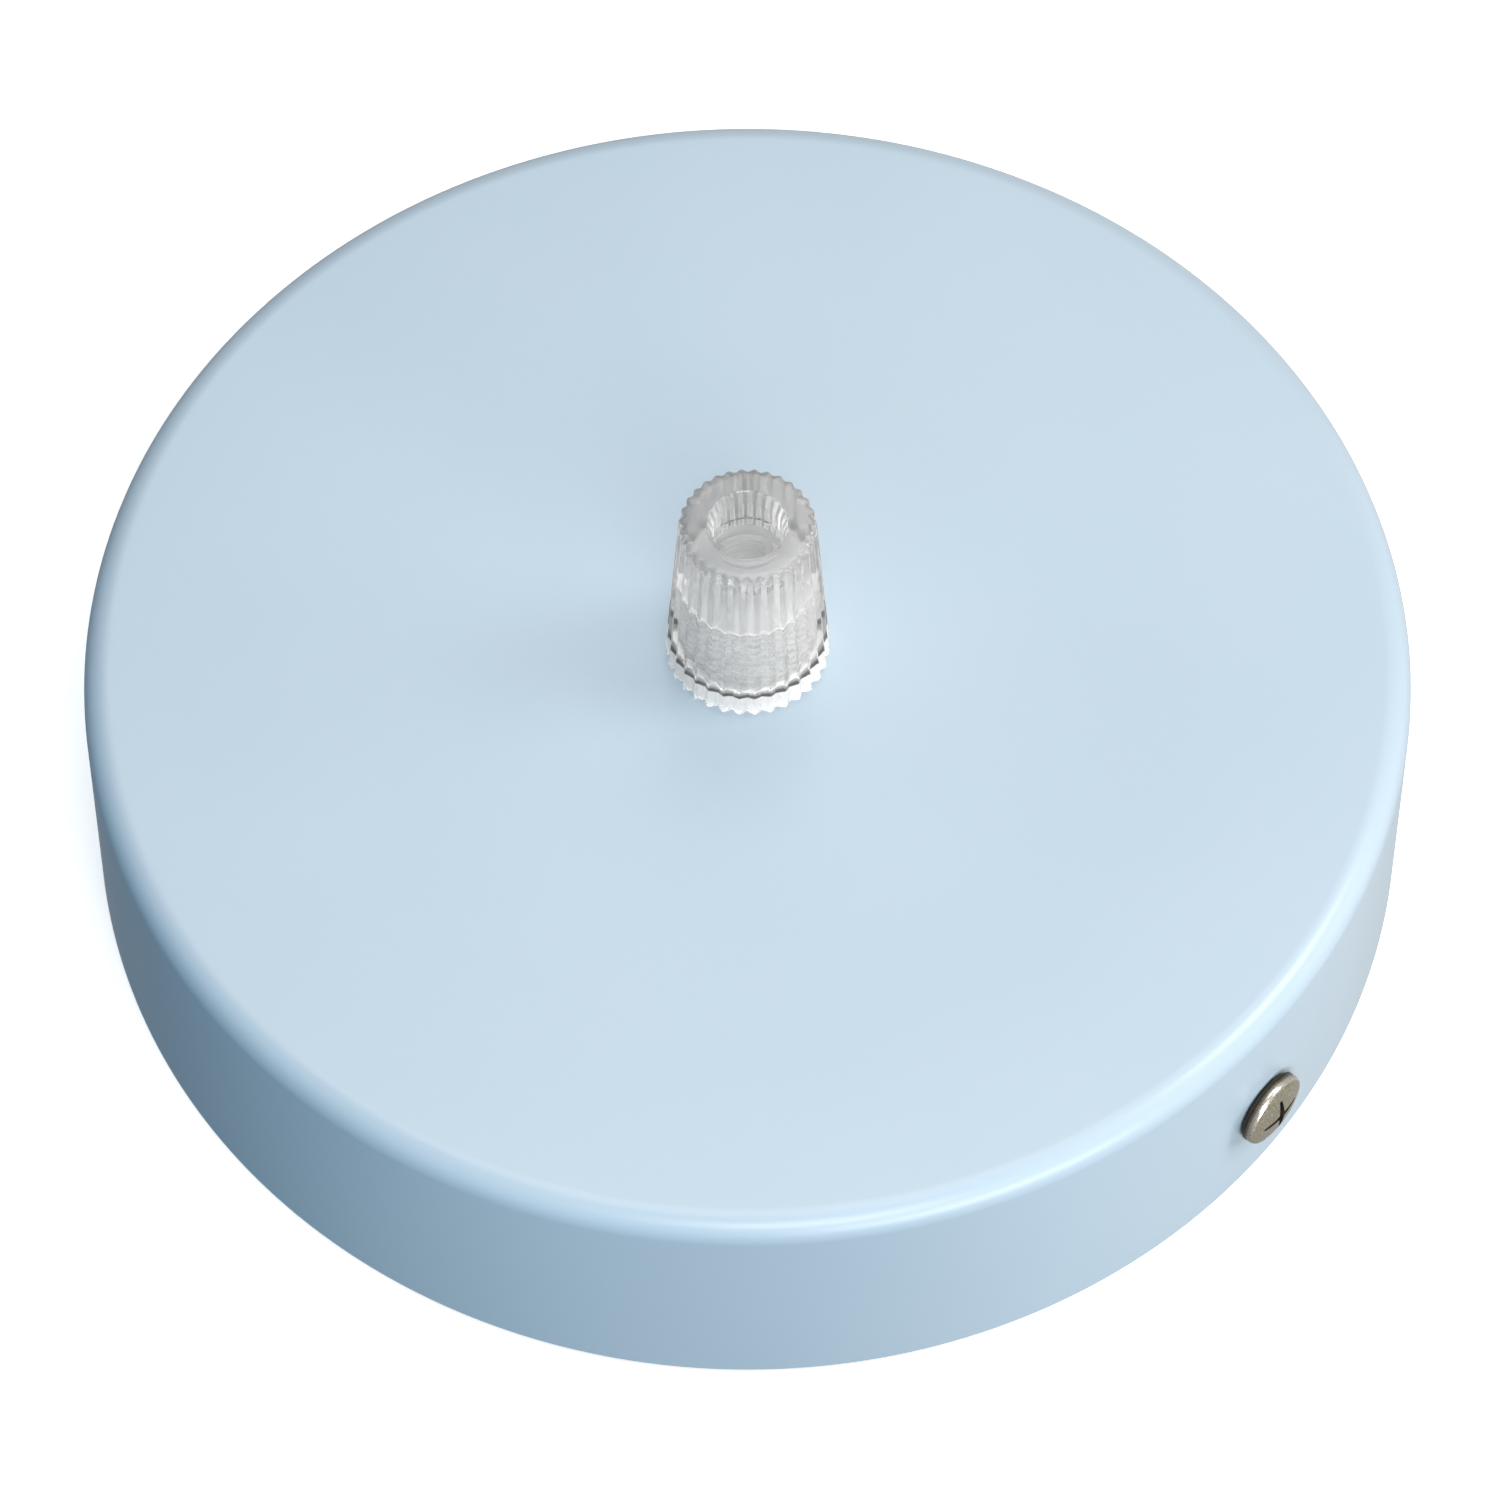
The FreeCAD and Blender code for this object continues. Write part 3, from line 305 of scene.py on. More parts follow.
def thread_rows(radius, depth, pitch, start, end, angles, fade):
    """Rings along a helical thread that fades out towards both its ends.

    radius is the surface at the crests, and depth is how far the roots lie inside
    it. fade is the length over which the thread dies out.
    """
    count = max(2, round(abs(end - start) / pitch * THREAD_STEPS))
    rows = []
    for step in range(count + 1):
        height = start + (end - start) * step / count
        near_end = min(abs(height - start), abs(height - end))
        strength = min(1.0, near_end / fade)

        def reach(angle, height=height, strength=strength):
            turns = height / pitch - angle / (2 * math.pi)
            return radius - depth * strength * wave(turns)

        rows.append(ring_row(reach, height, angles))
    return rows


def cut_with(target, cutters):
    """Apply exact differences of the cutters to the target and delete them."""
    for cutter in cutters:
        modifier = target.modifiers.new("cut", "BOOLEAN")
        modifier.operation = "DIFFERENCE"
        modifier.solver = "EXACT"
        modifier.object = cutter
    bpy.context.view_layer.update()
    graph = bpy.context.evaluated_depsgraph_get()
    cut = bpy.data.meshes.new_from_object(target.evaluated_get(graph))
    target.modifiers.clear()
    old = target.data
    target.data = cut
    bpy.data.meshes.remove(old)
    for cutter in cutters:
        mesh = cutter.data
        bpy.data.objects.remove(cutter)
        bpy.data.meshes.remove(mesh)


def lathe(name, section, segments):
    """A closed piece turned from its section, a list of (radius, height)."""
    angles = even_angles(segments)
    bm = bmesh.new()
    rows = [ring_row(reach, height, angles) for reach, height in section]
    tube_grid(bm, rows, segments)
    bmesh.ops.remove_doubles(bm, verts=bm.verts, dist=MERGE_DISTANCE)
    return finish_mesh(bm, name)


def rod(name, radius, start, end):
    """A plain cylinder between two points, used as a cutter."""
    axis = Vector(end) - Vector(start)
    bm = bmesh.new()
    bmesh.ops.create_cone(
        bm,
        cap_ends=True,
        segments=HOLE_SEGMENTS,
        radius1=radius,
        radius2=radius,
        depth=axis.length,
    )
    middle = (Vector(start) + Vector(end)) / 2
    turn = axis.to_track_quat("Z", "Y").to_matrix().to_4x4()
    bm.transform(Matrix.Translation(middle) @ turn)
    return finish_mesh(bm, name)


def box_cutter(name, low, high):
    bm = bmesh.new()
    bmesh.ops.create_cube(bm, size=1)
    size = Vector(high) - Vector(low)
    middle = (Vector(high) + Vector(low)) / 2
    bm.transform(Matrix.Translation(middle) @ Matrix.Diagonal((*size, 1)))
    return finish_mesh(bm, name)


def place_piece(piece, node, body, slot_name, *materials):
    """The piece stands for a CAD node, rides on its body and takes its finish."""
    numbers = [face.material_index for face in piece.data.polygons]
    piece.data.materials.clear()
    for material in materials:
        piece.data.materials.append(material)
    piece.data.polygons.foreach_set("material_index", numbers)
    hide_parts(node)
    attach(piece, body)


def make_cover(material):
    """The drawn cup with rounded edge, rolled evenly round, and its holes."""
    inner_edge = COVER_EDGE_RADIUS - COVER_WALL
    corner = (COVER_RADIUS - COVER_EDGE_RADIUS, COVER_TOP - COVER_EDGE_RADIUS)
    section = [
        (COVER_RADIUS - COVER_WALL, COVER_DEBURR),
        (COVER_RADIUS - COVER_WALL + COVER_DEBURR, 0.0),
        (COVER_RADIUS - COVER_DEBURR, 0.0),
        (COVER_RADIUS, COVER_DEBURR),
    ]
    section += arc_points(corner, COVER_EDGE_RADIUS, 0, 90, COVER_EDGE_STEPS)
    section += [(reach, COVER_TOP) for reach in COVER_RINGS]
    section += [
        (CORD_HOLE_RADIUS + COVER_DEBURR, COVER_TOP),
        (CORD_HOLE_RADIUS, COVER_TOP - COVER_DEBURR),
        (CORD_HOLE_RADIUS, COVER_TOP - COVER_WALL),
    ]
    section += [(reach, COVER_TOP - COVER_WALL) for reach in reversed(COVER_RINGS)]
    section += arc_points(corner, inner_edge, 90, 0, COVER_INNER_STEPS)
    cover = lathe("cup", section, COVER_SEGMENTS)
    reach = COVER_RADIUS + HOLE_OVERRUN
    hole = rod("side_hole", SIDE_HOLE_RADIUS, (-reach, 0, SCREW_AXIS_Z), (reach, 0, SCREW_AXIS_Z))
    cut_with(cover, [hole])
    cover.data.shade_smooth()
    cover.data.set_sharp_from_angle(angle=math.radians(COVER_SHARP))
    place_piece(cover, "cover", "base", "blue_paint", material)


def rib_angles():
    """Column angles of the ribbed cap: land, flanks and root of every rib.

    A crest lies on the X axis, which puts a groove towards the camera.
    """
    return [RIB_STEP * (rib + part) for rib in range(RIB_COUNT) for part in RIB_COLUMNS]


def rib_fall(angle, sharpness):
    """How far a rib's surface lies below its crest, from 0 to 1.

    A sharpness of 1 gives straight flanks, and 0 a round wave.
    """
    part = (angle / RIB_STEP) % 1.0
    away = min(part, 1 - part)
    straight = min(1.0, max(0.0, (away - RIB_LAND) / RIB_FLANK))
    round_wave = (1 - math.cos(2 * math.pi * away)) / 2
    return sharpness * straight + (1 - sharpness) * round_wave


def make_gland_cap(*materials):
    """The clear ribbed cap with its funnel, cone, internal thread and skirt."""
    angles = rib_angles()
    foot, top = CAP_LOW.z, CAP_HIGH.z
    height = top - foot
    rows = []

    def ribbed(level, shrink=0.0):
        share = (level - foot) / height
        edge = CAP_FOOT_RADIUS + (CAP_TOP_RADIUS - CAP_FOOT_RADIUS) * share - shrink
        depth = RIB_DEPTH + (RIB_TOP_DEPTH - RIB_DEPTH) * share
        depth *= 1 - RIB_FADE * shrink / CAP_TOP_REACH
        return ring_row(lambda angle: edge - depth * rib_fall(angle, 1 - share), level, angles)

    rows.append(ribbed(foot, CAP_FOOT_EASE))
    for share in RIB_LEVELS:
        rows.append(ribbed(foot + share * height))
    for step in range(CAP_ROUND_STEPS + 1):
        turn = math.radians(90 * step / CAP_ROUND_STEPS)
        shrink = CAP_TOP_REACH * (1 - math.cos(turn))
        rows.append(ribbed(top - CAP_TOP_ROUND * (1 - math.sin(turn)), shrink))
    rounding = len(rows) - CAP_ROUND_STEPS
    throat = top - CAP_MOUTH_DEPTH
    shoulder = foot + CAP_THREAD_HEIGHT
    skirt = foot + CAP_SKIRT_HEIGHT
    face = len(rows)
    lip = top - CAP_MOUTH_DISH
    rows.append(ring_row(CAP_MOUTH_RADIUS, lip, angles))
    rows.append(ring_row(CAP_MOUTH_RADIUS - CAP_MOUTH_BEVEL, lip - CAP_MOUTH_BEVEL, angles))
    rows.append(ring_row(CAP_MOUTH_BORE, lip - CAP_MOUTH_FLARE, angles))
    rows.append(ring_row(CAP_MOUTH_BORE, throat, angles))
    rows.append(ring_row(CAP_THROAT_RADIUS, throat, angles))
    cone = len(rows)
    rows.append(ring_row(CAP_THROAT_RADIUS, throat - CAP_THROAT_LENGTH, angles))
    rows.append(ring_row(CAP_SHOULDER_RADIUS, shoulder, angles))
    thread = len(rows)
    rows += thread_rows(
        CAP_BORE_RADIUS + THREAD_DEPTH,
        THREAD_DEPTH,
        GLAND_PITCH,
        shoulder,
        skirt,
        angles,
        GLAND_PITCH / 2,
    )
    ledge = len(rows)
    rows.append(ring_row(CAP_SKIRT_RADIUS - LEDGE_PAINTED_SHADOW - LEDGE_PAINTED_SHADE, skirt, angles))
    rows.append(ring_row(CAP_SKIRT_RADIUS - LEDGE_PAINTED_SHADOW, skirt, angles))
    rows.append(ring_row(CAP_SKIRT_RADIUS, skirt, angles))
    rows.append(ring_row(CAP_SKIRT_RADIUS, foot, angles))
    bm = bmesh.new()
    finishes = (
        (rounding, 1),
        (face, 0),
        (cone, 2),
        (thread, 3),
        (ledge, 4),
        # Finishes 4 and 5 are the ledge's painted shade and painted shadow
        (ledge + 1, 5),
        (ledge + 2, 6),
        # Finish 6 is the skirt's white, a painted reflection
        (ledge + 3, 0),
    )
    tube_grid(bm, rows, len(angles), finishes)
    cap = finish_mesh(bm, "clear_cap", GLAND_SHARP)
    place_piece(cap, "gland_cap", "cap", "clear_plastic", *materials)


def make_gland_stem(material):
    """The clear stem: threads above and below the collar, and the split collet."""
    angles = even_angles(STEM_COLUMNS)
    face = COVER_TOP
    thread_top = face + STEM_THREAD_HEIGHT
    rows = [
        ring_row(STEM_BORE_RADIUS, STEM_LOW.z, angles),
        ring_row(GLAND_THREAD_RADIUS - THREAD_DEPTH, STEM_LOW.z, angles),
    ]
    rows += thread_rows(
        GLAND_THREAD_RADIUS,
        THREAD_DEPTH,
        GLAND_PITCH,
        STEM_LOW.z + STEM_LEAD,
        face,
        angles,
        GLAND_PITCH,
    )
    rows.append(ring_row(COLLAR_RADIUS, face, angles))
    rows.append(ring_row(COLLAR_RADIUS, face + COLLAR_HEIGHT - COLLAR_BEVEL, angles))
    rows.append(ring_row(COLLAR_RADIUS - COLLAR_BEVEL, face + COLLAR_HEIGHT, angles))
    rows += thread_rows(
        GLAND_THREAD_RADIUS,
        THREAD_DEPTH,
        GLAND_PITCH,
        face + COLLAR_HEIGHT,
        thread_top,
        angles,
        GLAND_PITCH / 2,
    )
    rows.append(ring_row(FINGER_ROOT_RADIUS, thread_top, angles))
    rows.append(ring_row(FINGER_TIP_RADIUS, STEM_HIGH.z, angles))
    level = STEM_HIGH.z
    rows.append(ring_row(STEM_BORE_RADIUS, level, angles))
    for tooth in range(TOOTH_COUNT):
        edge = level - TOOTH_START - tooth * TOOTH_PITCH
        rows.append(ring_row(STEM_BORE_RADIUS, edge, angles))
        rows.append(ring_row(STEM_BORE_RADIUS + TOOTH_DEPTH, edge - TOOTH_PITCH / 2, angles))
    grip_end = level - TOOTH_START - TOOTH_COUNT * TOOTH_PITCH
    rows.append(ring_row(STEM_BORE_RADIUS, grip_end, angles))
    bm = bmesh.new()
    tube_grid(bm, rows, len(angles))
    stem = finish_mesh(bm, "clear_stem", GLAND_SHARP)
    low = thread_top - SLIT_RUN
    half = SLIT_WIDTH / 2
    reach = COLLAR_RADIUS
    over = STEM_HIGH.z + SLIT_OVERRUN
    slits = [
        box_cutter("slit_along", (-reach, -half, low), (reach, half, over)),
        box_cutter("slit_across", (-half, -reach, low), (half, reach, over)),
    ]
    cut_with(stem, slits)
    stem.data.set_sharp_from_angle(angle=math.radians(GLAND_SHARP))
    place_piece(stem, "gland_stem", "base", "clear_plastic", material)


def cross_cutter(name, top):
    """A cross that narrows downwards, as a driver's tip does."""
    bm = bmesh.new()
    rings = []
    for rise, sunk, long_share, wide_share in RECESS_LEVELS:
        level = top + rise - RECESS_DEPTH * sunk
        long = RECESS_ARM * long_share
        half = RECESS_WIDTH * wide_share / 2
        end = half * RECESS_END_SHARE
        quarter = [(long, end), (half, half), (end, long)]
        ring = []
        for across_sign, up_sign in ((1, 1), (-1, 1), (-1, -1), (1, -1)):
            part = quarter if across_sign == up_sign else quarter[::-1]
            for across, up in part:
                ring.append(bm.verts.new((across_sign * across, up_sign * up, level)))
        rings.append(ring)
    for ring, following in zip(rings, rings[1:]):
        for number in range(len(ring)):
            after = (number + 1) % len(ring)
            bm.faces.new((ring[number], ring[after], following[after], following[number]))
    bm.faces.new(rings[0])
    bm.faces.new(rings[-1])
    for face in bm.faces:
        face.material_index = 1
    return finish_mesh(bm, name)


def head_section():
    """Points (radius, height) of a domed head, from its underside to its apex.

    The side is split where its painted shade next to the wall ends. The rim is an arc
    that meets the dome at a crease.
    """
    head = SCREW_HEAD_RADIUS
    dome_radius = (head ** 2 + HEAD_DOME ** 2) / (2 * HEAD_DOME)
    centre = HEAD_SIDE + HEAD_DOME - dome_radius
    turn = math.radians(HEAD_RIM_TURN)
    reach = head - HEAD_ROUNDING + HEAD_ROUNDING * math.cos(turn)
    crease = centre + math.sqrt(dome_radius ** 2 - reach ** 2)
    edge = crease - HEAD_ROUNDING * math.sin(turn)
    meeting = math.degrees(math.atan2(crease - centre, reach))
    points = [(head - HEAD_BEVEL, 0.0), (head, HEAD_BEVEL), (head, HEAD_SHADE)]
    points += arc_points((head - HEAD_ROUNDING, edge), HEAD_ROUNDING, 0, HEAD_RIM_TURN, RIM_STEPS)
    points += arc_points((0.0, centre), dome_radius, meeting, 90, DOME_STEPS)[1:]
    return points


def threaded_screw(name, length):
    """A domed side screw along Z, its head's underside at height 0.

    Its second material is painted shade on the head next to the wall, and its third is the rim's
    wear and painted highlight.
    """
    angles = even_angles(SCREW_COLUMNS)
    rows = [ring_row(0.0, -length, angles)]
    rows.append(ring_row(SCREW_RADIUS - SCREW_POINT_DEPTH, -length, angles))
    rows += thread_rows(
        SCREW_RADIUS,
        SCREW_THREAD_DEPTH,
        SCREW_PITCH,
        -length + SCREW_THREAD_DEPTH,
        0.0,
        angles,
        SCREW_PITCH / 2,
    )
    underside = len(rows) - 1
    for reach, level in head_section():
        rows.append(ring_row(max(reach, 0.0), level, angles))
    shade_end = underside + 3
    rim = shade_end + 1
    finishes = ((underside, 1), (shade_end, 0), (rim, 2), (rim + RIM_STEPS, 0))
    bm = bmesh.new()
    tube_grid(bm, rows, SCREW_COLUMNS, finishes, closed=False)
    bmesh.ops.remove_doubles(bm, verts=bm.verts, dist=MERGE_DISTANCE)
    return finish_mesh(bm, name)


def make_side_screw(node, body, side, *materials):
    """One of the two screws in the cup's wall, its rim worn and lighter as a painted highlight,
    and its recess black.
    """
    length = (SCREW_HIGH.x - SCREW_LOW.x) - HEAD_SIDE - HEAD_DOME
    piece = threaded_screw(f"{body}_detailed", length)
    cutter = cross_cutter("recess", HEAD_SIDE + HEAD_DOME)
    for item in (piece, cutter):
        for material in materials:
            item.data.materials.append(material)
    cut_with(piece, [cutter])
    turn = Matrix.Rotation(math.radians(90 * side), 4, "Y")
    move = Matrix.Translation((side * (COVER_RADIUS + HEAD_GAP), 0, SCREW_AXIS_Z))
    piece.data.transform(move @ turn)
    piece.data.shade_smooth()
    piece.data.set_sharp_from_angle(angle=math.radians(SCREW_SHARP))
    place_piece(piece, node, body, "antique_brass", *materials)


class Shader:
    """A short way to write node materials."""

    def __init__(self, name):
        self.material = bpy.data.materials.new(name)
        self.material.use_nodes = True
        self.tree = self.material.node_tree
        self.tree.nodes.clear()
        self.output = self.tree.nodes.new("ShaderNodeOutputMaterial")
        self.surface = self.tree.nodes.new("ShaderNodeBsdfPrincipled")
        self.tree.links.new(self.surface.outputs["BSDF"], self.output.inputs["Surface"])
        self.place = self.tree.nodes.new("ShaderNodeTexCoord").outputs["Object"]

    def set(self, **values):
        for name, value in values.items():
            self.surface.inputs[name.replace("_", " ")].default_value = value

    def scaled(self, scale):
        mapping = self.tree.nodes.new("ShaderNodeMapping")
        mapping.inputs["Scale"].default_value = scale
        self.tree.links.new(self.place, mapping.inputs["Vector"])
        return mapping.outputs["Vector"]

    def noise(self, scale, detail=3.0, roughness=0.5, vector=None):
        noise = self.tree.nodes.new("ShaderNodeTexNoise")
        noise.inputs["Scale"].default_value = scale
        noise.inputs["Detail"].default_value = detail
        noise.inputs["Roughness"].default_value = roughness
        self.tree.links.new(vector or self.place, noise.inputs["Vector"])
        return noise.outputs["Fac"]

    def ramp(self, factor, stops):
        ramp = self.tree.nodes.new("ShaderNodeValToRGB")
        elements = ramp.color_ramp.elements
        while len(elements) < len(stops):
            elements.new(0.5)
        for element, (position, colour) in zip(elements, stops):
            element.position = position
            element.color = (*colour, 1.0)
        self.tree.links.new(factor, ramp.inputs["Fac"])
        return ramp.outputs["Color"]

    def multiplied(self, one, other):
        mix = self.tree.nodes.new("ShaderNodeMix")
        mix.data_type = "RGBA"
        mix.blend_type = "MULTIPLY"
        mix.inputs["Factor"].default_value = 1.0
        self.tree.links.new(one, mix.inputs["A"])
        self.tree.links.new(other, mix.inputs["B"])
        return mix.outputs["Result"]

    def mapped(self, factor, low, high):
        node = self.tree.nodes.new("ShaderNodeMapRange")
        node.inputs["To Min"].default_value = low
        node.inputs["To Max"].default_value = high
        self.tree.links.new(factor, node.inputs["Value"])
        return node.outputs["Result"]

    def colour(self, output):
        self.tree.links.new(output, self.surface.inputs["Base Color"])

    def roughness(self, output):
        self.tree.links.new(output, self.surface.inputs["Roughness"])

    def bump(self, *layers):
        """Bump layers, each (height output, distance in metres)."""
        normal = None
        for height, distance in layers:
            bump = self.tree.nodes.new("ShaderNodeBump")
            bump.inputs["Strength"].default_value = 1.0
            bump.inputs["Distance"].default_value = distance
            self.tree.links.new(height, bump.inputs["Height"])
            if normal:
                self.tree.links.new(normal, bump.inputs["Normal"])
            normal = bump.outputs["Normal"]
        self.tree.links.new(normal, self.surface.inputs["Normal"])


def paint_material():
    """Satin light-blue powder paint, whose light on its neighbours is grey."""
    shader = Shader("blue_paint_material")
    cloud = shader.noise(35.0, 2.0)
    plain = shader.ramp(cloud, [
        (0.3, (0.438, 0.538, 0.613)),
        (0.7, (0.454, 0.552, 0.627)),
    ])
    path = shader.tree.nodes.new("ShaderNodeLightPath")
    mix = shader.tree.nodes.new("ShaderNodeMix")
    mix.data_type = "RGBA"
    shader.tree.links.new(path.outputs["Is Camera Ray"], mix.inputs["Factor"])
    shader.tree.links.new(plain, mix.inputs["B"])
    mix.inputs["A"].default_value = (0.5, 0.5, 0.5, 1.0)
    shader.colour(mix.outputs["Result"])
    grain = shader.noise(1800.0, 3.0, 0.6)
    peel = shader.noise(420.0, 2.0)
    shader.roughness(shader.mapped(grain, 0.28, 0.35))
    shader.bump((peel, 0.003 * MM), (grain, 0.002 * MM))
    shader.set(IOR=1.5, Specular_IOR_Level=0.5)
    return shader.material


def clear_material(name, clearness, roughness, shade=0.98, passed=0.82):
    """Clear moulded plastic, more or less cloudy.

    passed is the share of the lamps' light that each of its faces lets through.
    """
    shader = Shader(f"{name}_plastic_material")
    shader.colour(shader.ramp(shader.noise(900.0, 2.0), [
        (0.2, (shade * 0.96, shade * 0.955, shade * 0.945)),
        (0.8, (shade, shade * 0.995, shade * 0.985)),
    ]))
    shader.roughness(shader.mapped(shader.noise(900.0), *roughness))
    shader.bump((shader.noise(700.0, 2.0), 0.01 * MM))
    shader.set(Transmission_Weight=clearness, IOR=1.5)
    through = shader.tree.nodes.new("ShaderNodeBsdfTransparent")
    through.inputs["Color"].default_value = (passed, passed, passed, 1.0)
    path = shader.tree.nodes.new("ShaderNodeLightPath")
    mix = shader.tree.nodes.new("ShaderNodeMixShader")
    join = shader.tree.links.new
    join(path.outputs["Is Shadow Ray"], mix.inputs["Fac"])
    join(shader.surface.outputs["BSDF"], mix.inputs[1])
    join(through.outputs["BSDF"], mix.inputs[2])
    join(mix.outputs["Shader"], shader.output.inputs["Surface"])
    return shader.material


def bronze_material(name, colours, roughness):
    """Finely speckled bronze plating, with painted shade that darkens it towards the cup's wall.
    """
    shader = Shader(name)
    speckle = shader.noise(6000.0, 3.0, 0.75)
    rubbed = shader.ramp(speckle, list(zip(BRONZE_STOPS, colours)))
    axes = shader.tree.nodes.new("ShaderNodeSeparateXYZ")
    shader.tree.links.new(shader.place, axes.inputs["Vector"])
    reach = shader.tree.nodes.new("ShaderNodeMath")
    reach.operation = "ABSOLUTE"
    shader.tree.links.new(axes.outputs["X"], reach.inputs[0])
    height = shader.tree.nodes.new("ShaderNodeMapRange")
    height.inputs["From Min"].default_value = COVER_RADIUS + HEAD_GAP + HEAD_SHADE
    height.inputs["From Max"].default_value = COVER_RADIUS + HEAD_SIDE
    shader.tree.links.new(reach.outputs["Value"], height.inputs["Value"])
    painted_wall_shade_colour = shader.ramp(height.outputs["Result"], PAINTED_WALL_SHADE)
    shader.colour(shader.multiplied(rubbed, painted_wall_shade_colour))
    scratches = shader.noise(4200.0, 2.0, 0.7, shader.scaled((0.2, 1.0, 1.0)))
    shader.roughness(shader.mapped(speckle, *roughness))
    shader.bump((scratches, 0.008 * MM), (speckle, 0.008 * MM))
    shader.set(Metallic=1.0)
    return shader.material


def wall_shade_and_recess_material():
    """The plating made near black: painted shade on the head next to the wall, and the dark of
    the cross recess.
    """
    shader = Shader("wall_shade_and_recess_bronze_material")
    speckle = shader.noise(6000.0, 3.0, 0.7)
    shader.colour(shader.ramp(speckle, [
        (0.3, (0.010, 0.010, 0.007)),
        (0.8, (0.040, 0.038, 0.029)),
    ]))
    shader.roughness(shader.mapped(speckle, 0.45, 0.65))
    shader.bump((speckle, 0.006 * MM))
    shader.set(Metallic=0.3)
    return shader.material


def zinc_material():
    """Bright zinc plating with a faint spangle and rolling marks."""
    shader = Shader("zinc_steel_material")
    voronoi = shader.tree.nodes.new("ShaderNodeTexVoronoi")
    voronoi.inputs["Scale"].default_value = 260.0
    shader.tree.links.new(shader.place, voronoi.inputs["Vector"])
    spangle = voronoi.outputs["Distance"]
    shader.colour(shader.ramp(spangle, [
        (0.1, (0.60, 0.62, 0.64)),
        (0.8, (0.70, 0.71, 0.72)),
    ]))
    rolling = shader.noise(900.0, 3.0, 0.6, shader.scaled((0.06, 1.0, 1.0)))
    shader.roughness(shader.mapped(rolling, 0.24, 0.42))
    shader.bump((rolling, 0.006 * MM))
    shader.set(Metallic=1.0)
    return shader.material


def terminal_brass_material():
    """Turned brass with tool marks."""
    shader = Shader("terminal_brass_material")
    stain = shader.noise(500.0, 3.0)
    shader.colour(shader.ramp(stain, [
        (0.2, (0.62, 0.43, 0.16)),
        (0.8, (0.82, 0.62, 0.28)),
    ]))
    marks = shader.noise(2400.0, 2.0, 0.6, shader.scaled((1.0, 0.1, 0.1)))
    shader.roughness(shader.mapped(stain, 0.22, 0.36))
    shader.bump((marks, 0.006 * MM))
    shader.set(Metallic=1.0)
    return shader.material


def nylon_material():
    """Off-white moulded nylon with a fine spark texture."""
    shader = Shader("white_nylon_material")
    shader.colour(shader.ramp(shader.noise(180.0, 3.0), [
        (0.2, (0.74, 0.73, 0.69)),
        (0.8, (0.83, 0.82, 0.79)),
    ]))
    grain = shader.noise(2600.0, 3.0, 0.7)
    shader.roughness(shader.mapped(grain, 0.42, 0.6))
    shader.bump((grain, 0.01 * MM))
    shader.set(Subsurface_Weight=0.15, Subsurface_Scale=0.8 * MM)
    return shader.material


def dress_nodes(materials):
    """Give every CAD node that still shows the material of its record slot."""
    slots = {row["node"]: row["material_slot"] for row in frame["record"]["subparts"]}
    for name, node in nodes.items():
        node.data.materials.clear()
        node.data.materials.append(materials[slots[name]])


def make_camera():
    """The photograph's camera, which looks at the middle of the cup."""
    back = Vector((
        math.sin(CAMERA_AZIMUTH) * math.cos(CAMERA_ELEVATION),
        -math.cos(CAMERA_AZIMUTH) * math.cos(CAMERA_ELEVATION),
        math.sin(CAMERA_ELEVATION),
    ))
    data = bpy.data.cameras.new("camera")
    data.sensor_width = SENSOR_MM
    data.lens = CAMERA_FOCAL_PX / IMAGE_SIZE * SENSOR_MM
    data.shift_x = (IMAGE_SIZE / 2 - CAMERA_AXIS_PX[0]) / IMAGE_SIZE
    data.shift_y = -(IMAGE_SIZE / 2 - CAMERA_AXIS_PX[1]) / IMAGE_SIZE
    data.clip_start, data.clip_end = CAMERA_CLIP
    camera = link(bpy.data.objects.new("camera", data))
    camera.location = Vector((0, 0, COVER_TOP / 2)) + back * CAMERA_DISTANCE
    camera.rotation_mode = "QUATERNION"
    camera.rotation_quaternion = (-back).to_track_quat("-Z", "Y")
    bpy.context.scene.camera = camera


def side_direction(angle_deg, elevation_deg):
    """A direction given as seen by the camera: 0 is behind, 90 is to its right."""
    angle = CAMERA_AZIMUTH - math.radians(angle_deg) + math.pi / 2
    elevation = math.radians(elevation_deg)
    return Vector((
        math.cos(angle) * math.cos(elevation),
        math.sin(angle) * math.cos(elevation),
        math.sin(elevation),
    ))


def area_light(name, direction, size, power, colour):
    """A rectangular light that faces the origin from the given direction."""
    data = bpy.data.lights.new(name, "AREA")
    data.shape = "RECTANGLE"
    data.size, data.size_y = size
    data.energy = power
    data.color = colour
    light = link(bpy.data.objects.new(name, data))
    light.location = direction * LIGHT_DISTANCE
    light.rotation_mode = "QUATERNION"
    light.rotation_quaternion = direction.to_track_quat("Z", "Y")
    return light


def make_stage():
    """A plain white floor, wide enough for every view."""
    bm = bmesh.new()
    bmesh.ops.create_grid(bm, x_segments=1, y_segments=1, size=FLOOR_HALF)
    bm.transform(Matrix.Translation((0, 0, -FLOOR_DROP)))
    floor = finish_mesh(bm, "floor")
    shader = Shader("floor_material")
    shader.colour(shader.ramp(shader.noise(1.5, 2.0), [
        (0.3, (0.90, 0.90, 0.90)),
        (0.7, (0.93, 0.93, 0.93)),
    ]))
    shader.set(
        Roughness=0.9,
        Specular_IOR_Level=0.1,
        Emission_Color=(1.0, 1.0, 1.0, 1.0),
        Emission_Strength=FLOOR_GLOW,
    )
    floor.data.materials.append(shader.material)
    floor.visible_diffuse = False
    floor.visible_glossy = False


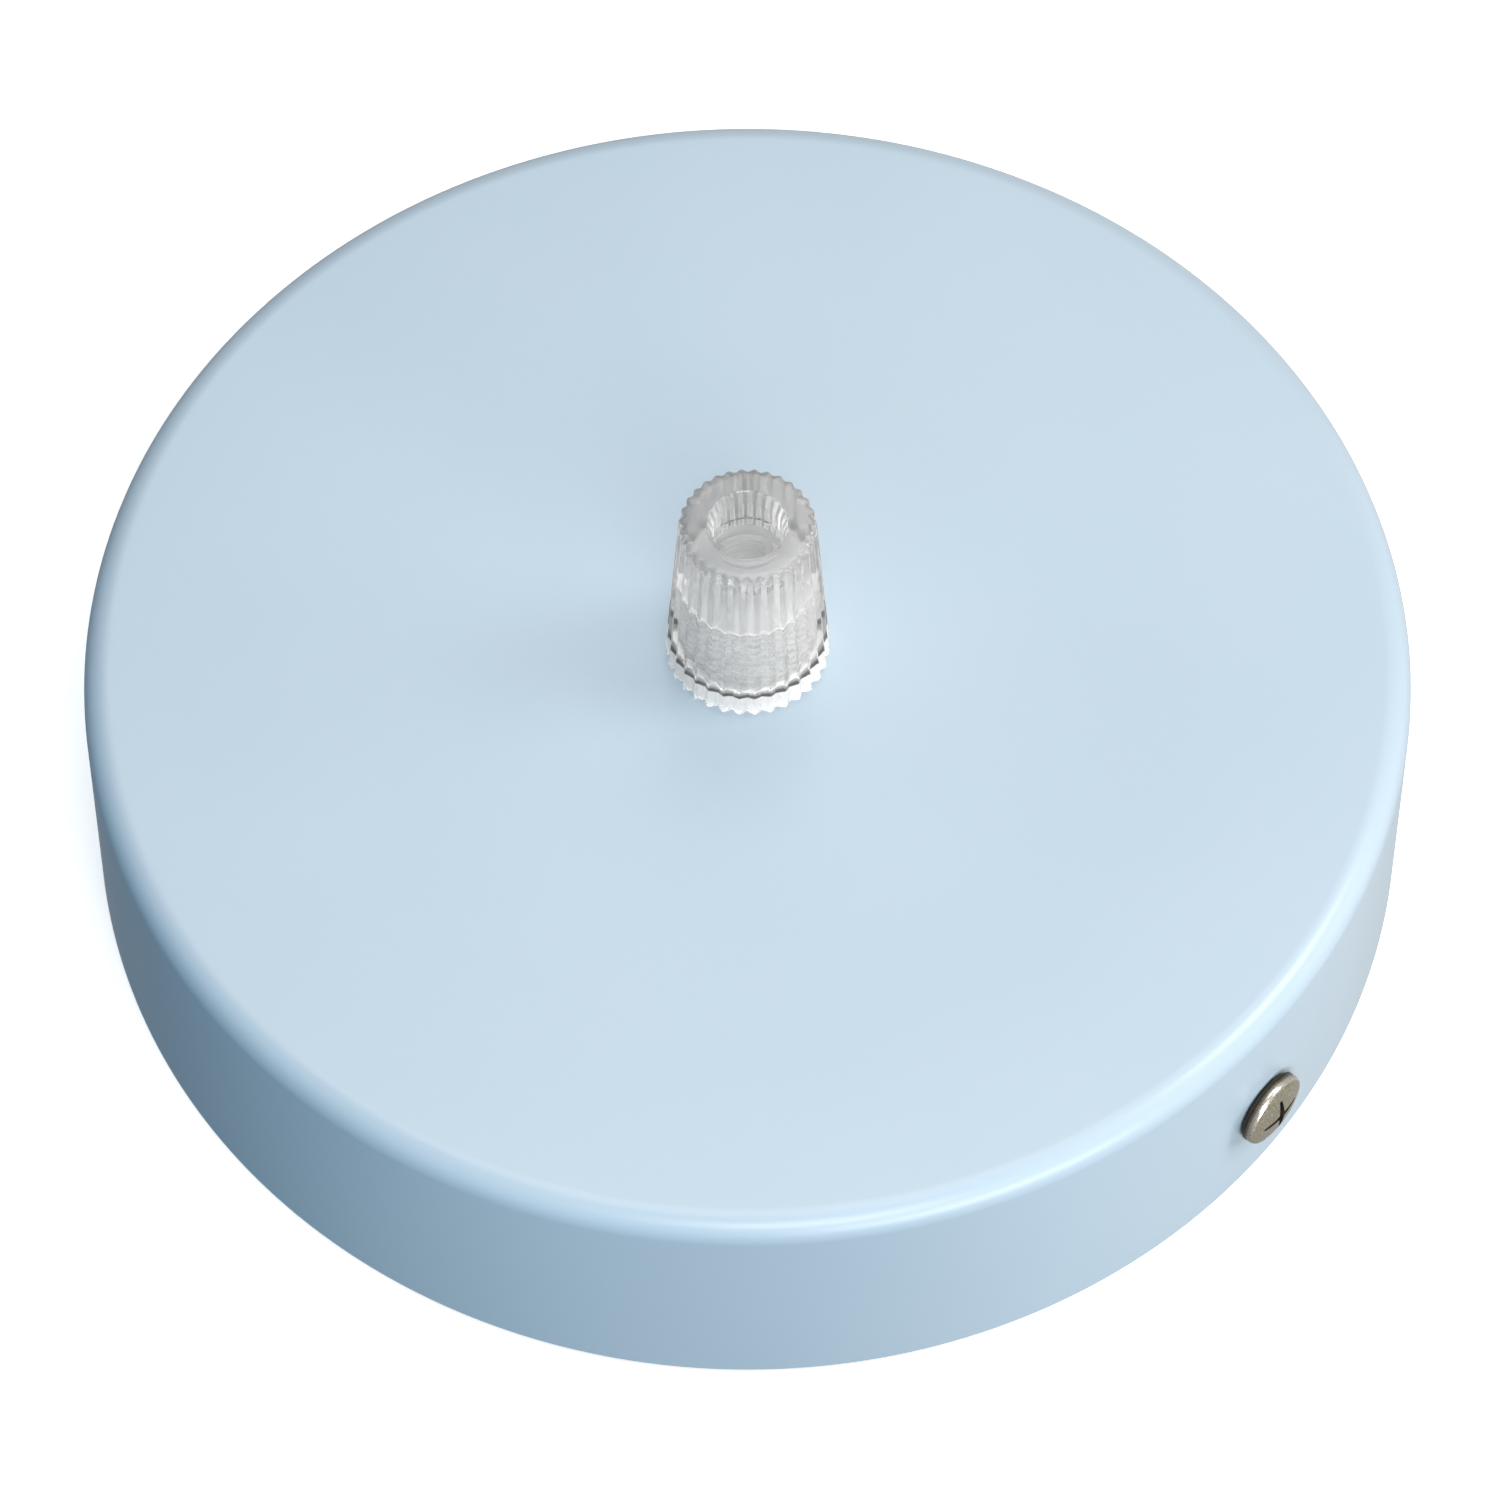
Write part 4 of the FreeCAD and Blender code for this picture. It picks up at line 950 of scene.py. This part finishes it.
def make_world():
    """Soft surroundings for the clear and shiny parts, dimmed below the left wall."""
    world = bpy.data.worlds.new("studio")
    world.use_nodes = True
    tree = world.node_tree
    tree.nodes.clear()
    output = tree.nodes.new("ShaderNodeOutputWorld")
    background = tree.nodes.new("ShaderNodeBackground")
    place = tree.nodes.new("ShaderNodeTexCoord")
    towards = tree.nodes.new("ShaderNodeVectorMath")
    towards.operation = "DOT_PRODUCT"
    towards.inputs[1].default_value = side_direction(*WORLD_BRIGHT_SIDE)
    ramp = tree.nodes.new("ShaderNodeValToRGB")
    shift = tree.nodes.new("ShaderNodeMapRange")
    shift.inputs["From Min"].default_value = -1.0
    shift.inputs["From Max"].default_value = 1.0
    elements = ramp.color_ramp.elements
    for element, position, grey in zip(elements, WORLD_RAMP, (WORLD_DARK, WORLD_LIGHT)):
        element.position = position
        element.color = (grey, grey, grey, 1.0)
    tree.links.new(place.outputs["Generated"], towards.inputs[0])
    tree.links.new(towards.outputs["Value"], shift.inputs["Value"])
    tree.links.new(shift.outputs["Result"], ramp.inputs["Fac"])
    tree.links.new(ramp.outputs["Color"], background.inputs["Color"])
    patch = tree.nodes.new("ShaderNodeVectorMath")
    patch.operation = "DOT_PRODUCT"
    patch.inputs[1].default_value = side_direction(*WORLD_PATCH_SIDE)
    dimming = tree.nodes.new("ShaderNodeMapRange")
    dimming.inputs["From Min"].default_value = math.cos(math.radians(WORLD_PATCH_REACH))
    dimming.inputs["From Max"].default_value = 1.0
    dimming.inputs["To Min"].default_value = 1.0
    dimming.inputs["To Max"].default_value = WORLD_PATCH_GAIN
    tree.links.new(place.outputs["Generated"], patch.inputs[0])
    tree.links.new(patch.outputs["Value"], dimming.inputs["Value"])
    tree.links.new(dimming.outputs["Result"], background.inputs["Strength"])
    tree.links.new(background.outputs["Background"], output.inputs["Surface"])
    world.cycles_visibility.diffuse = False
    bpy.context.scene.world = world


def make_lights():
    for name, (azimuth, elevation, size, power, tint) in LIGHTS.items():
        light = area_light(name, side_direction(azimuth, elevation), size, power, tint)
        light.visible_camera = False
        light.visible_glossy = name not in UNREFLECTED
        light.visible_transmission = False


def main():
    materials = {
        "blue_paint": paint_material(),
        "clear_plastic": clear_material(*CLEAR_PLASTIC),
        "zinc_steel": zinc_material(),
        "antique_brass": bronze_material("antique_brass_material", *AGED_BRONZE),
        "terminal_brass": terminal_brass_material(),
        "white_plastic": nylon_material(),
    }
    dress_nodes(materials)
    make_cover(materials["blue_paint"])
    cap_plastics = [clear_material(*plastic) for plastic in CAP_PLASTICS]
    make_gland_cap(materials["clear_plastic"], *cap_plastics)
    make_gland_stem(clear_material(*STEM_PLASTIC, passed=STEM_PASSED))
    bronze = (
        materials["antique_brass"],
        # Near black: painted shade next to the wall, and the cross recess
        wall_shade_and_recess_material(),
        # The rim: wear and a painted highlight
        bronze_material("worn_and_highlight_bronze_material", *WORN_AND_HIGHLIGHT_BRONZE),
    )
    make_side_screw("side_screw_right", "right_screw", 1, *bronze)
    make_side_screw("side_screw_left", "left_screw", -1, *bronze)
    make_stage()
    make_world()
    make_lights()
    make_camera()
    bpy.context.scene.view_settings.view_transform = "Standard"


main()
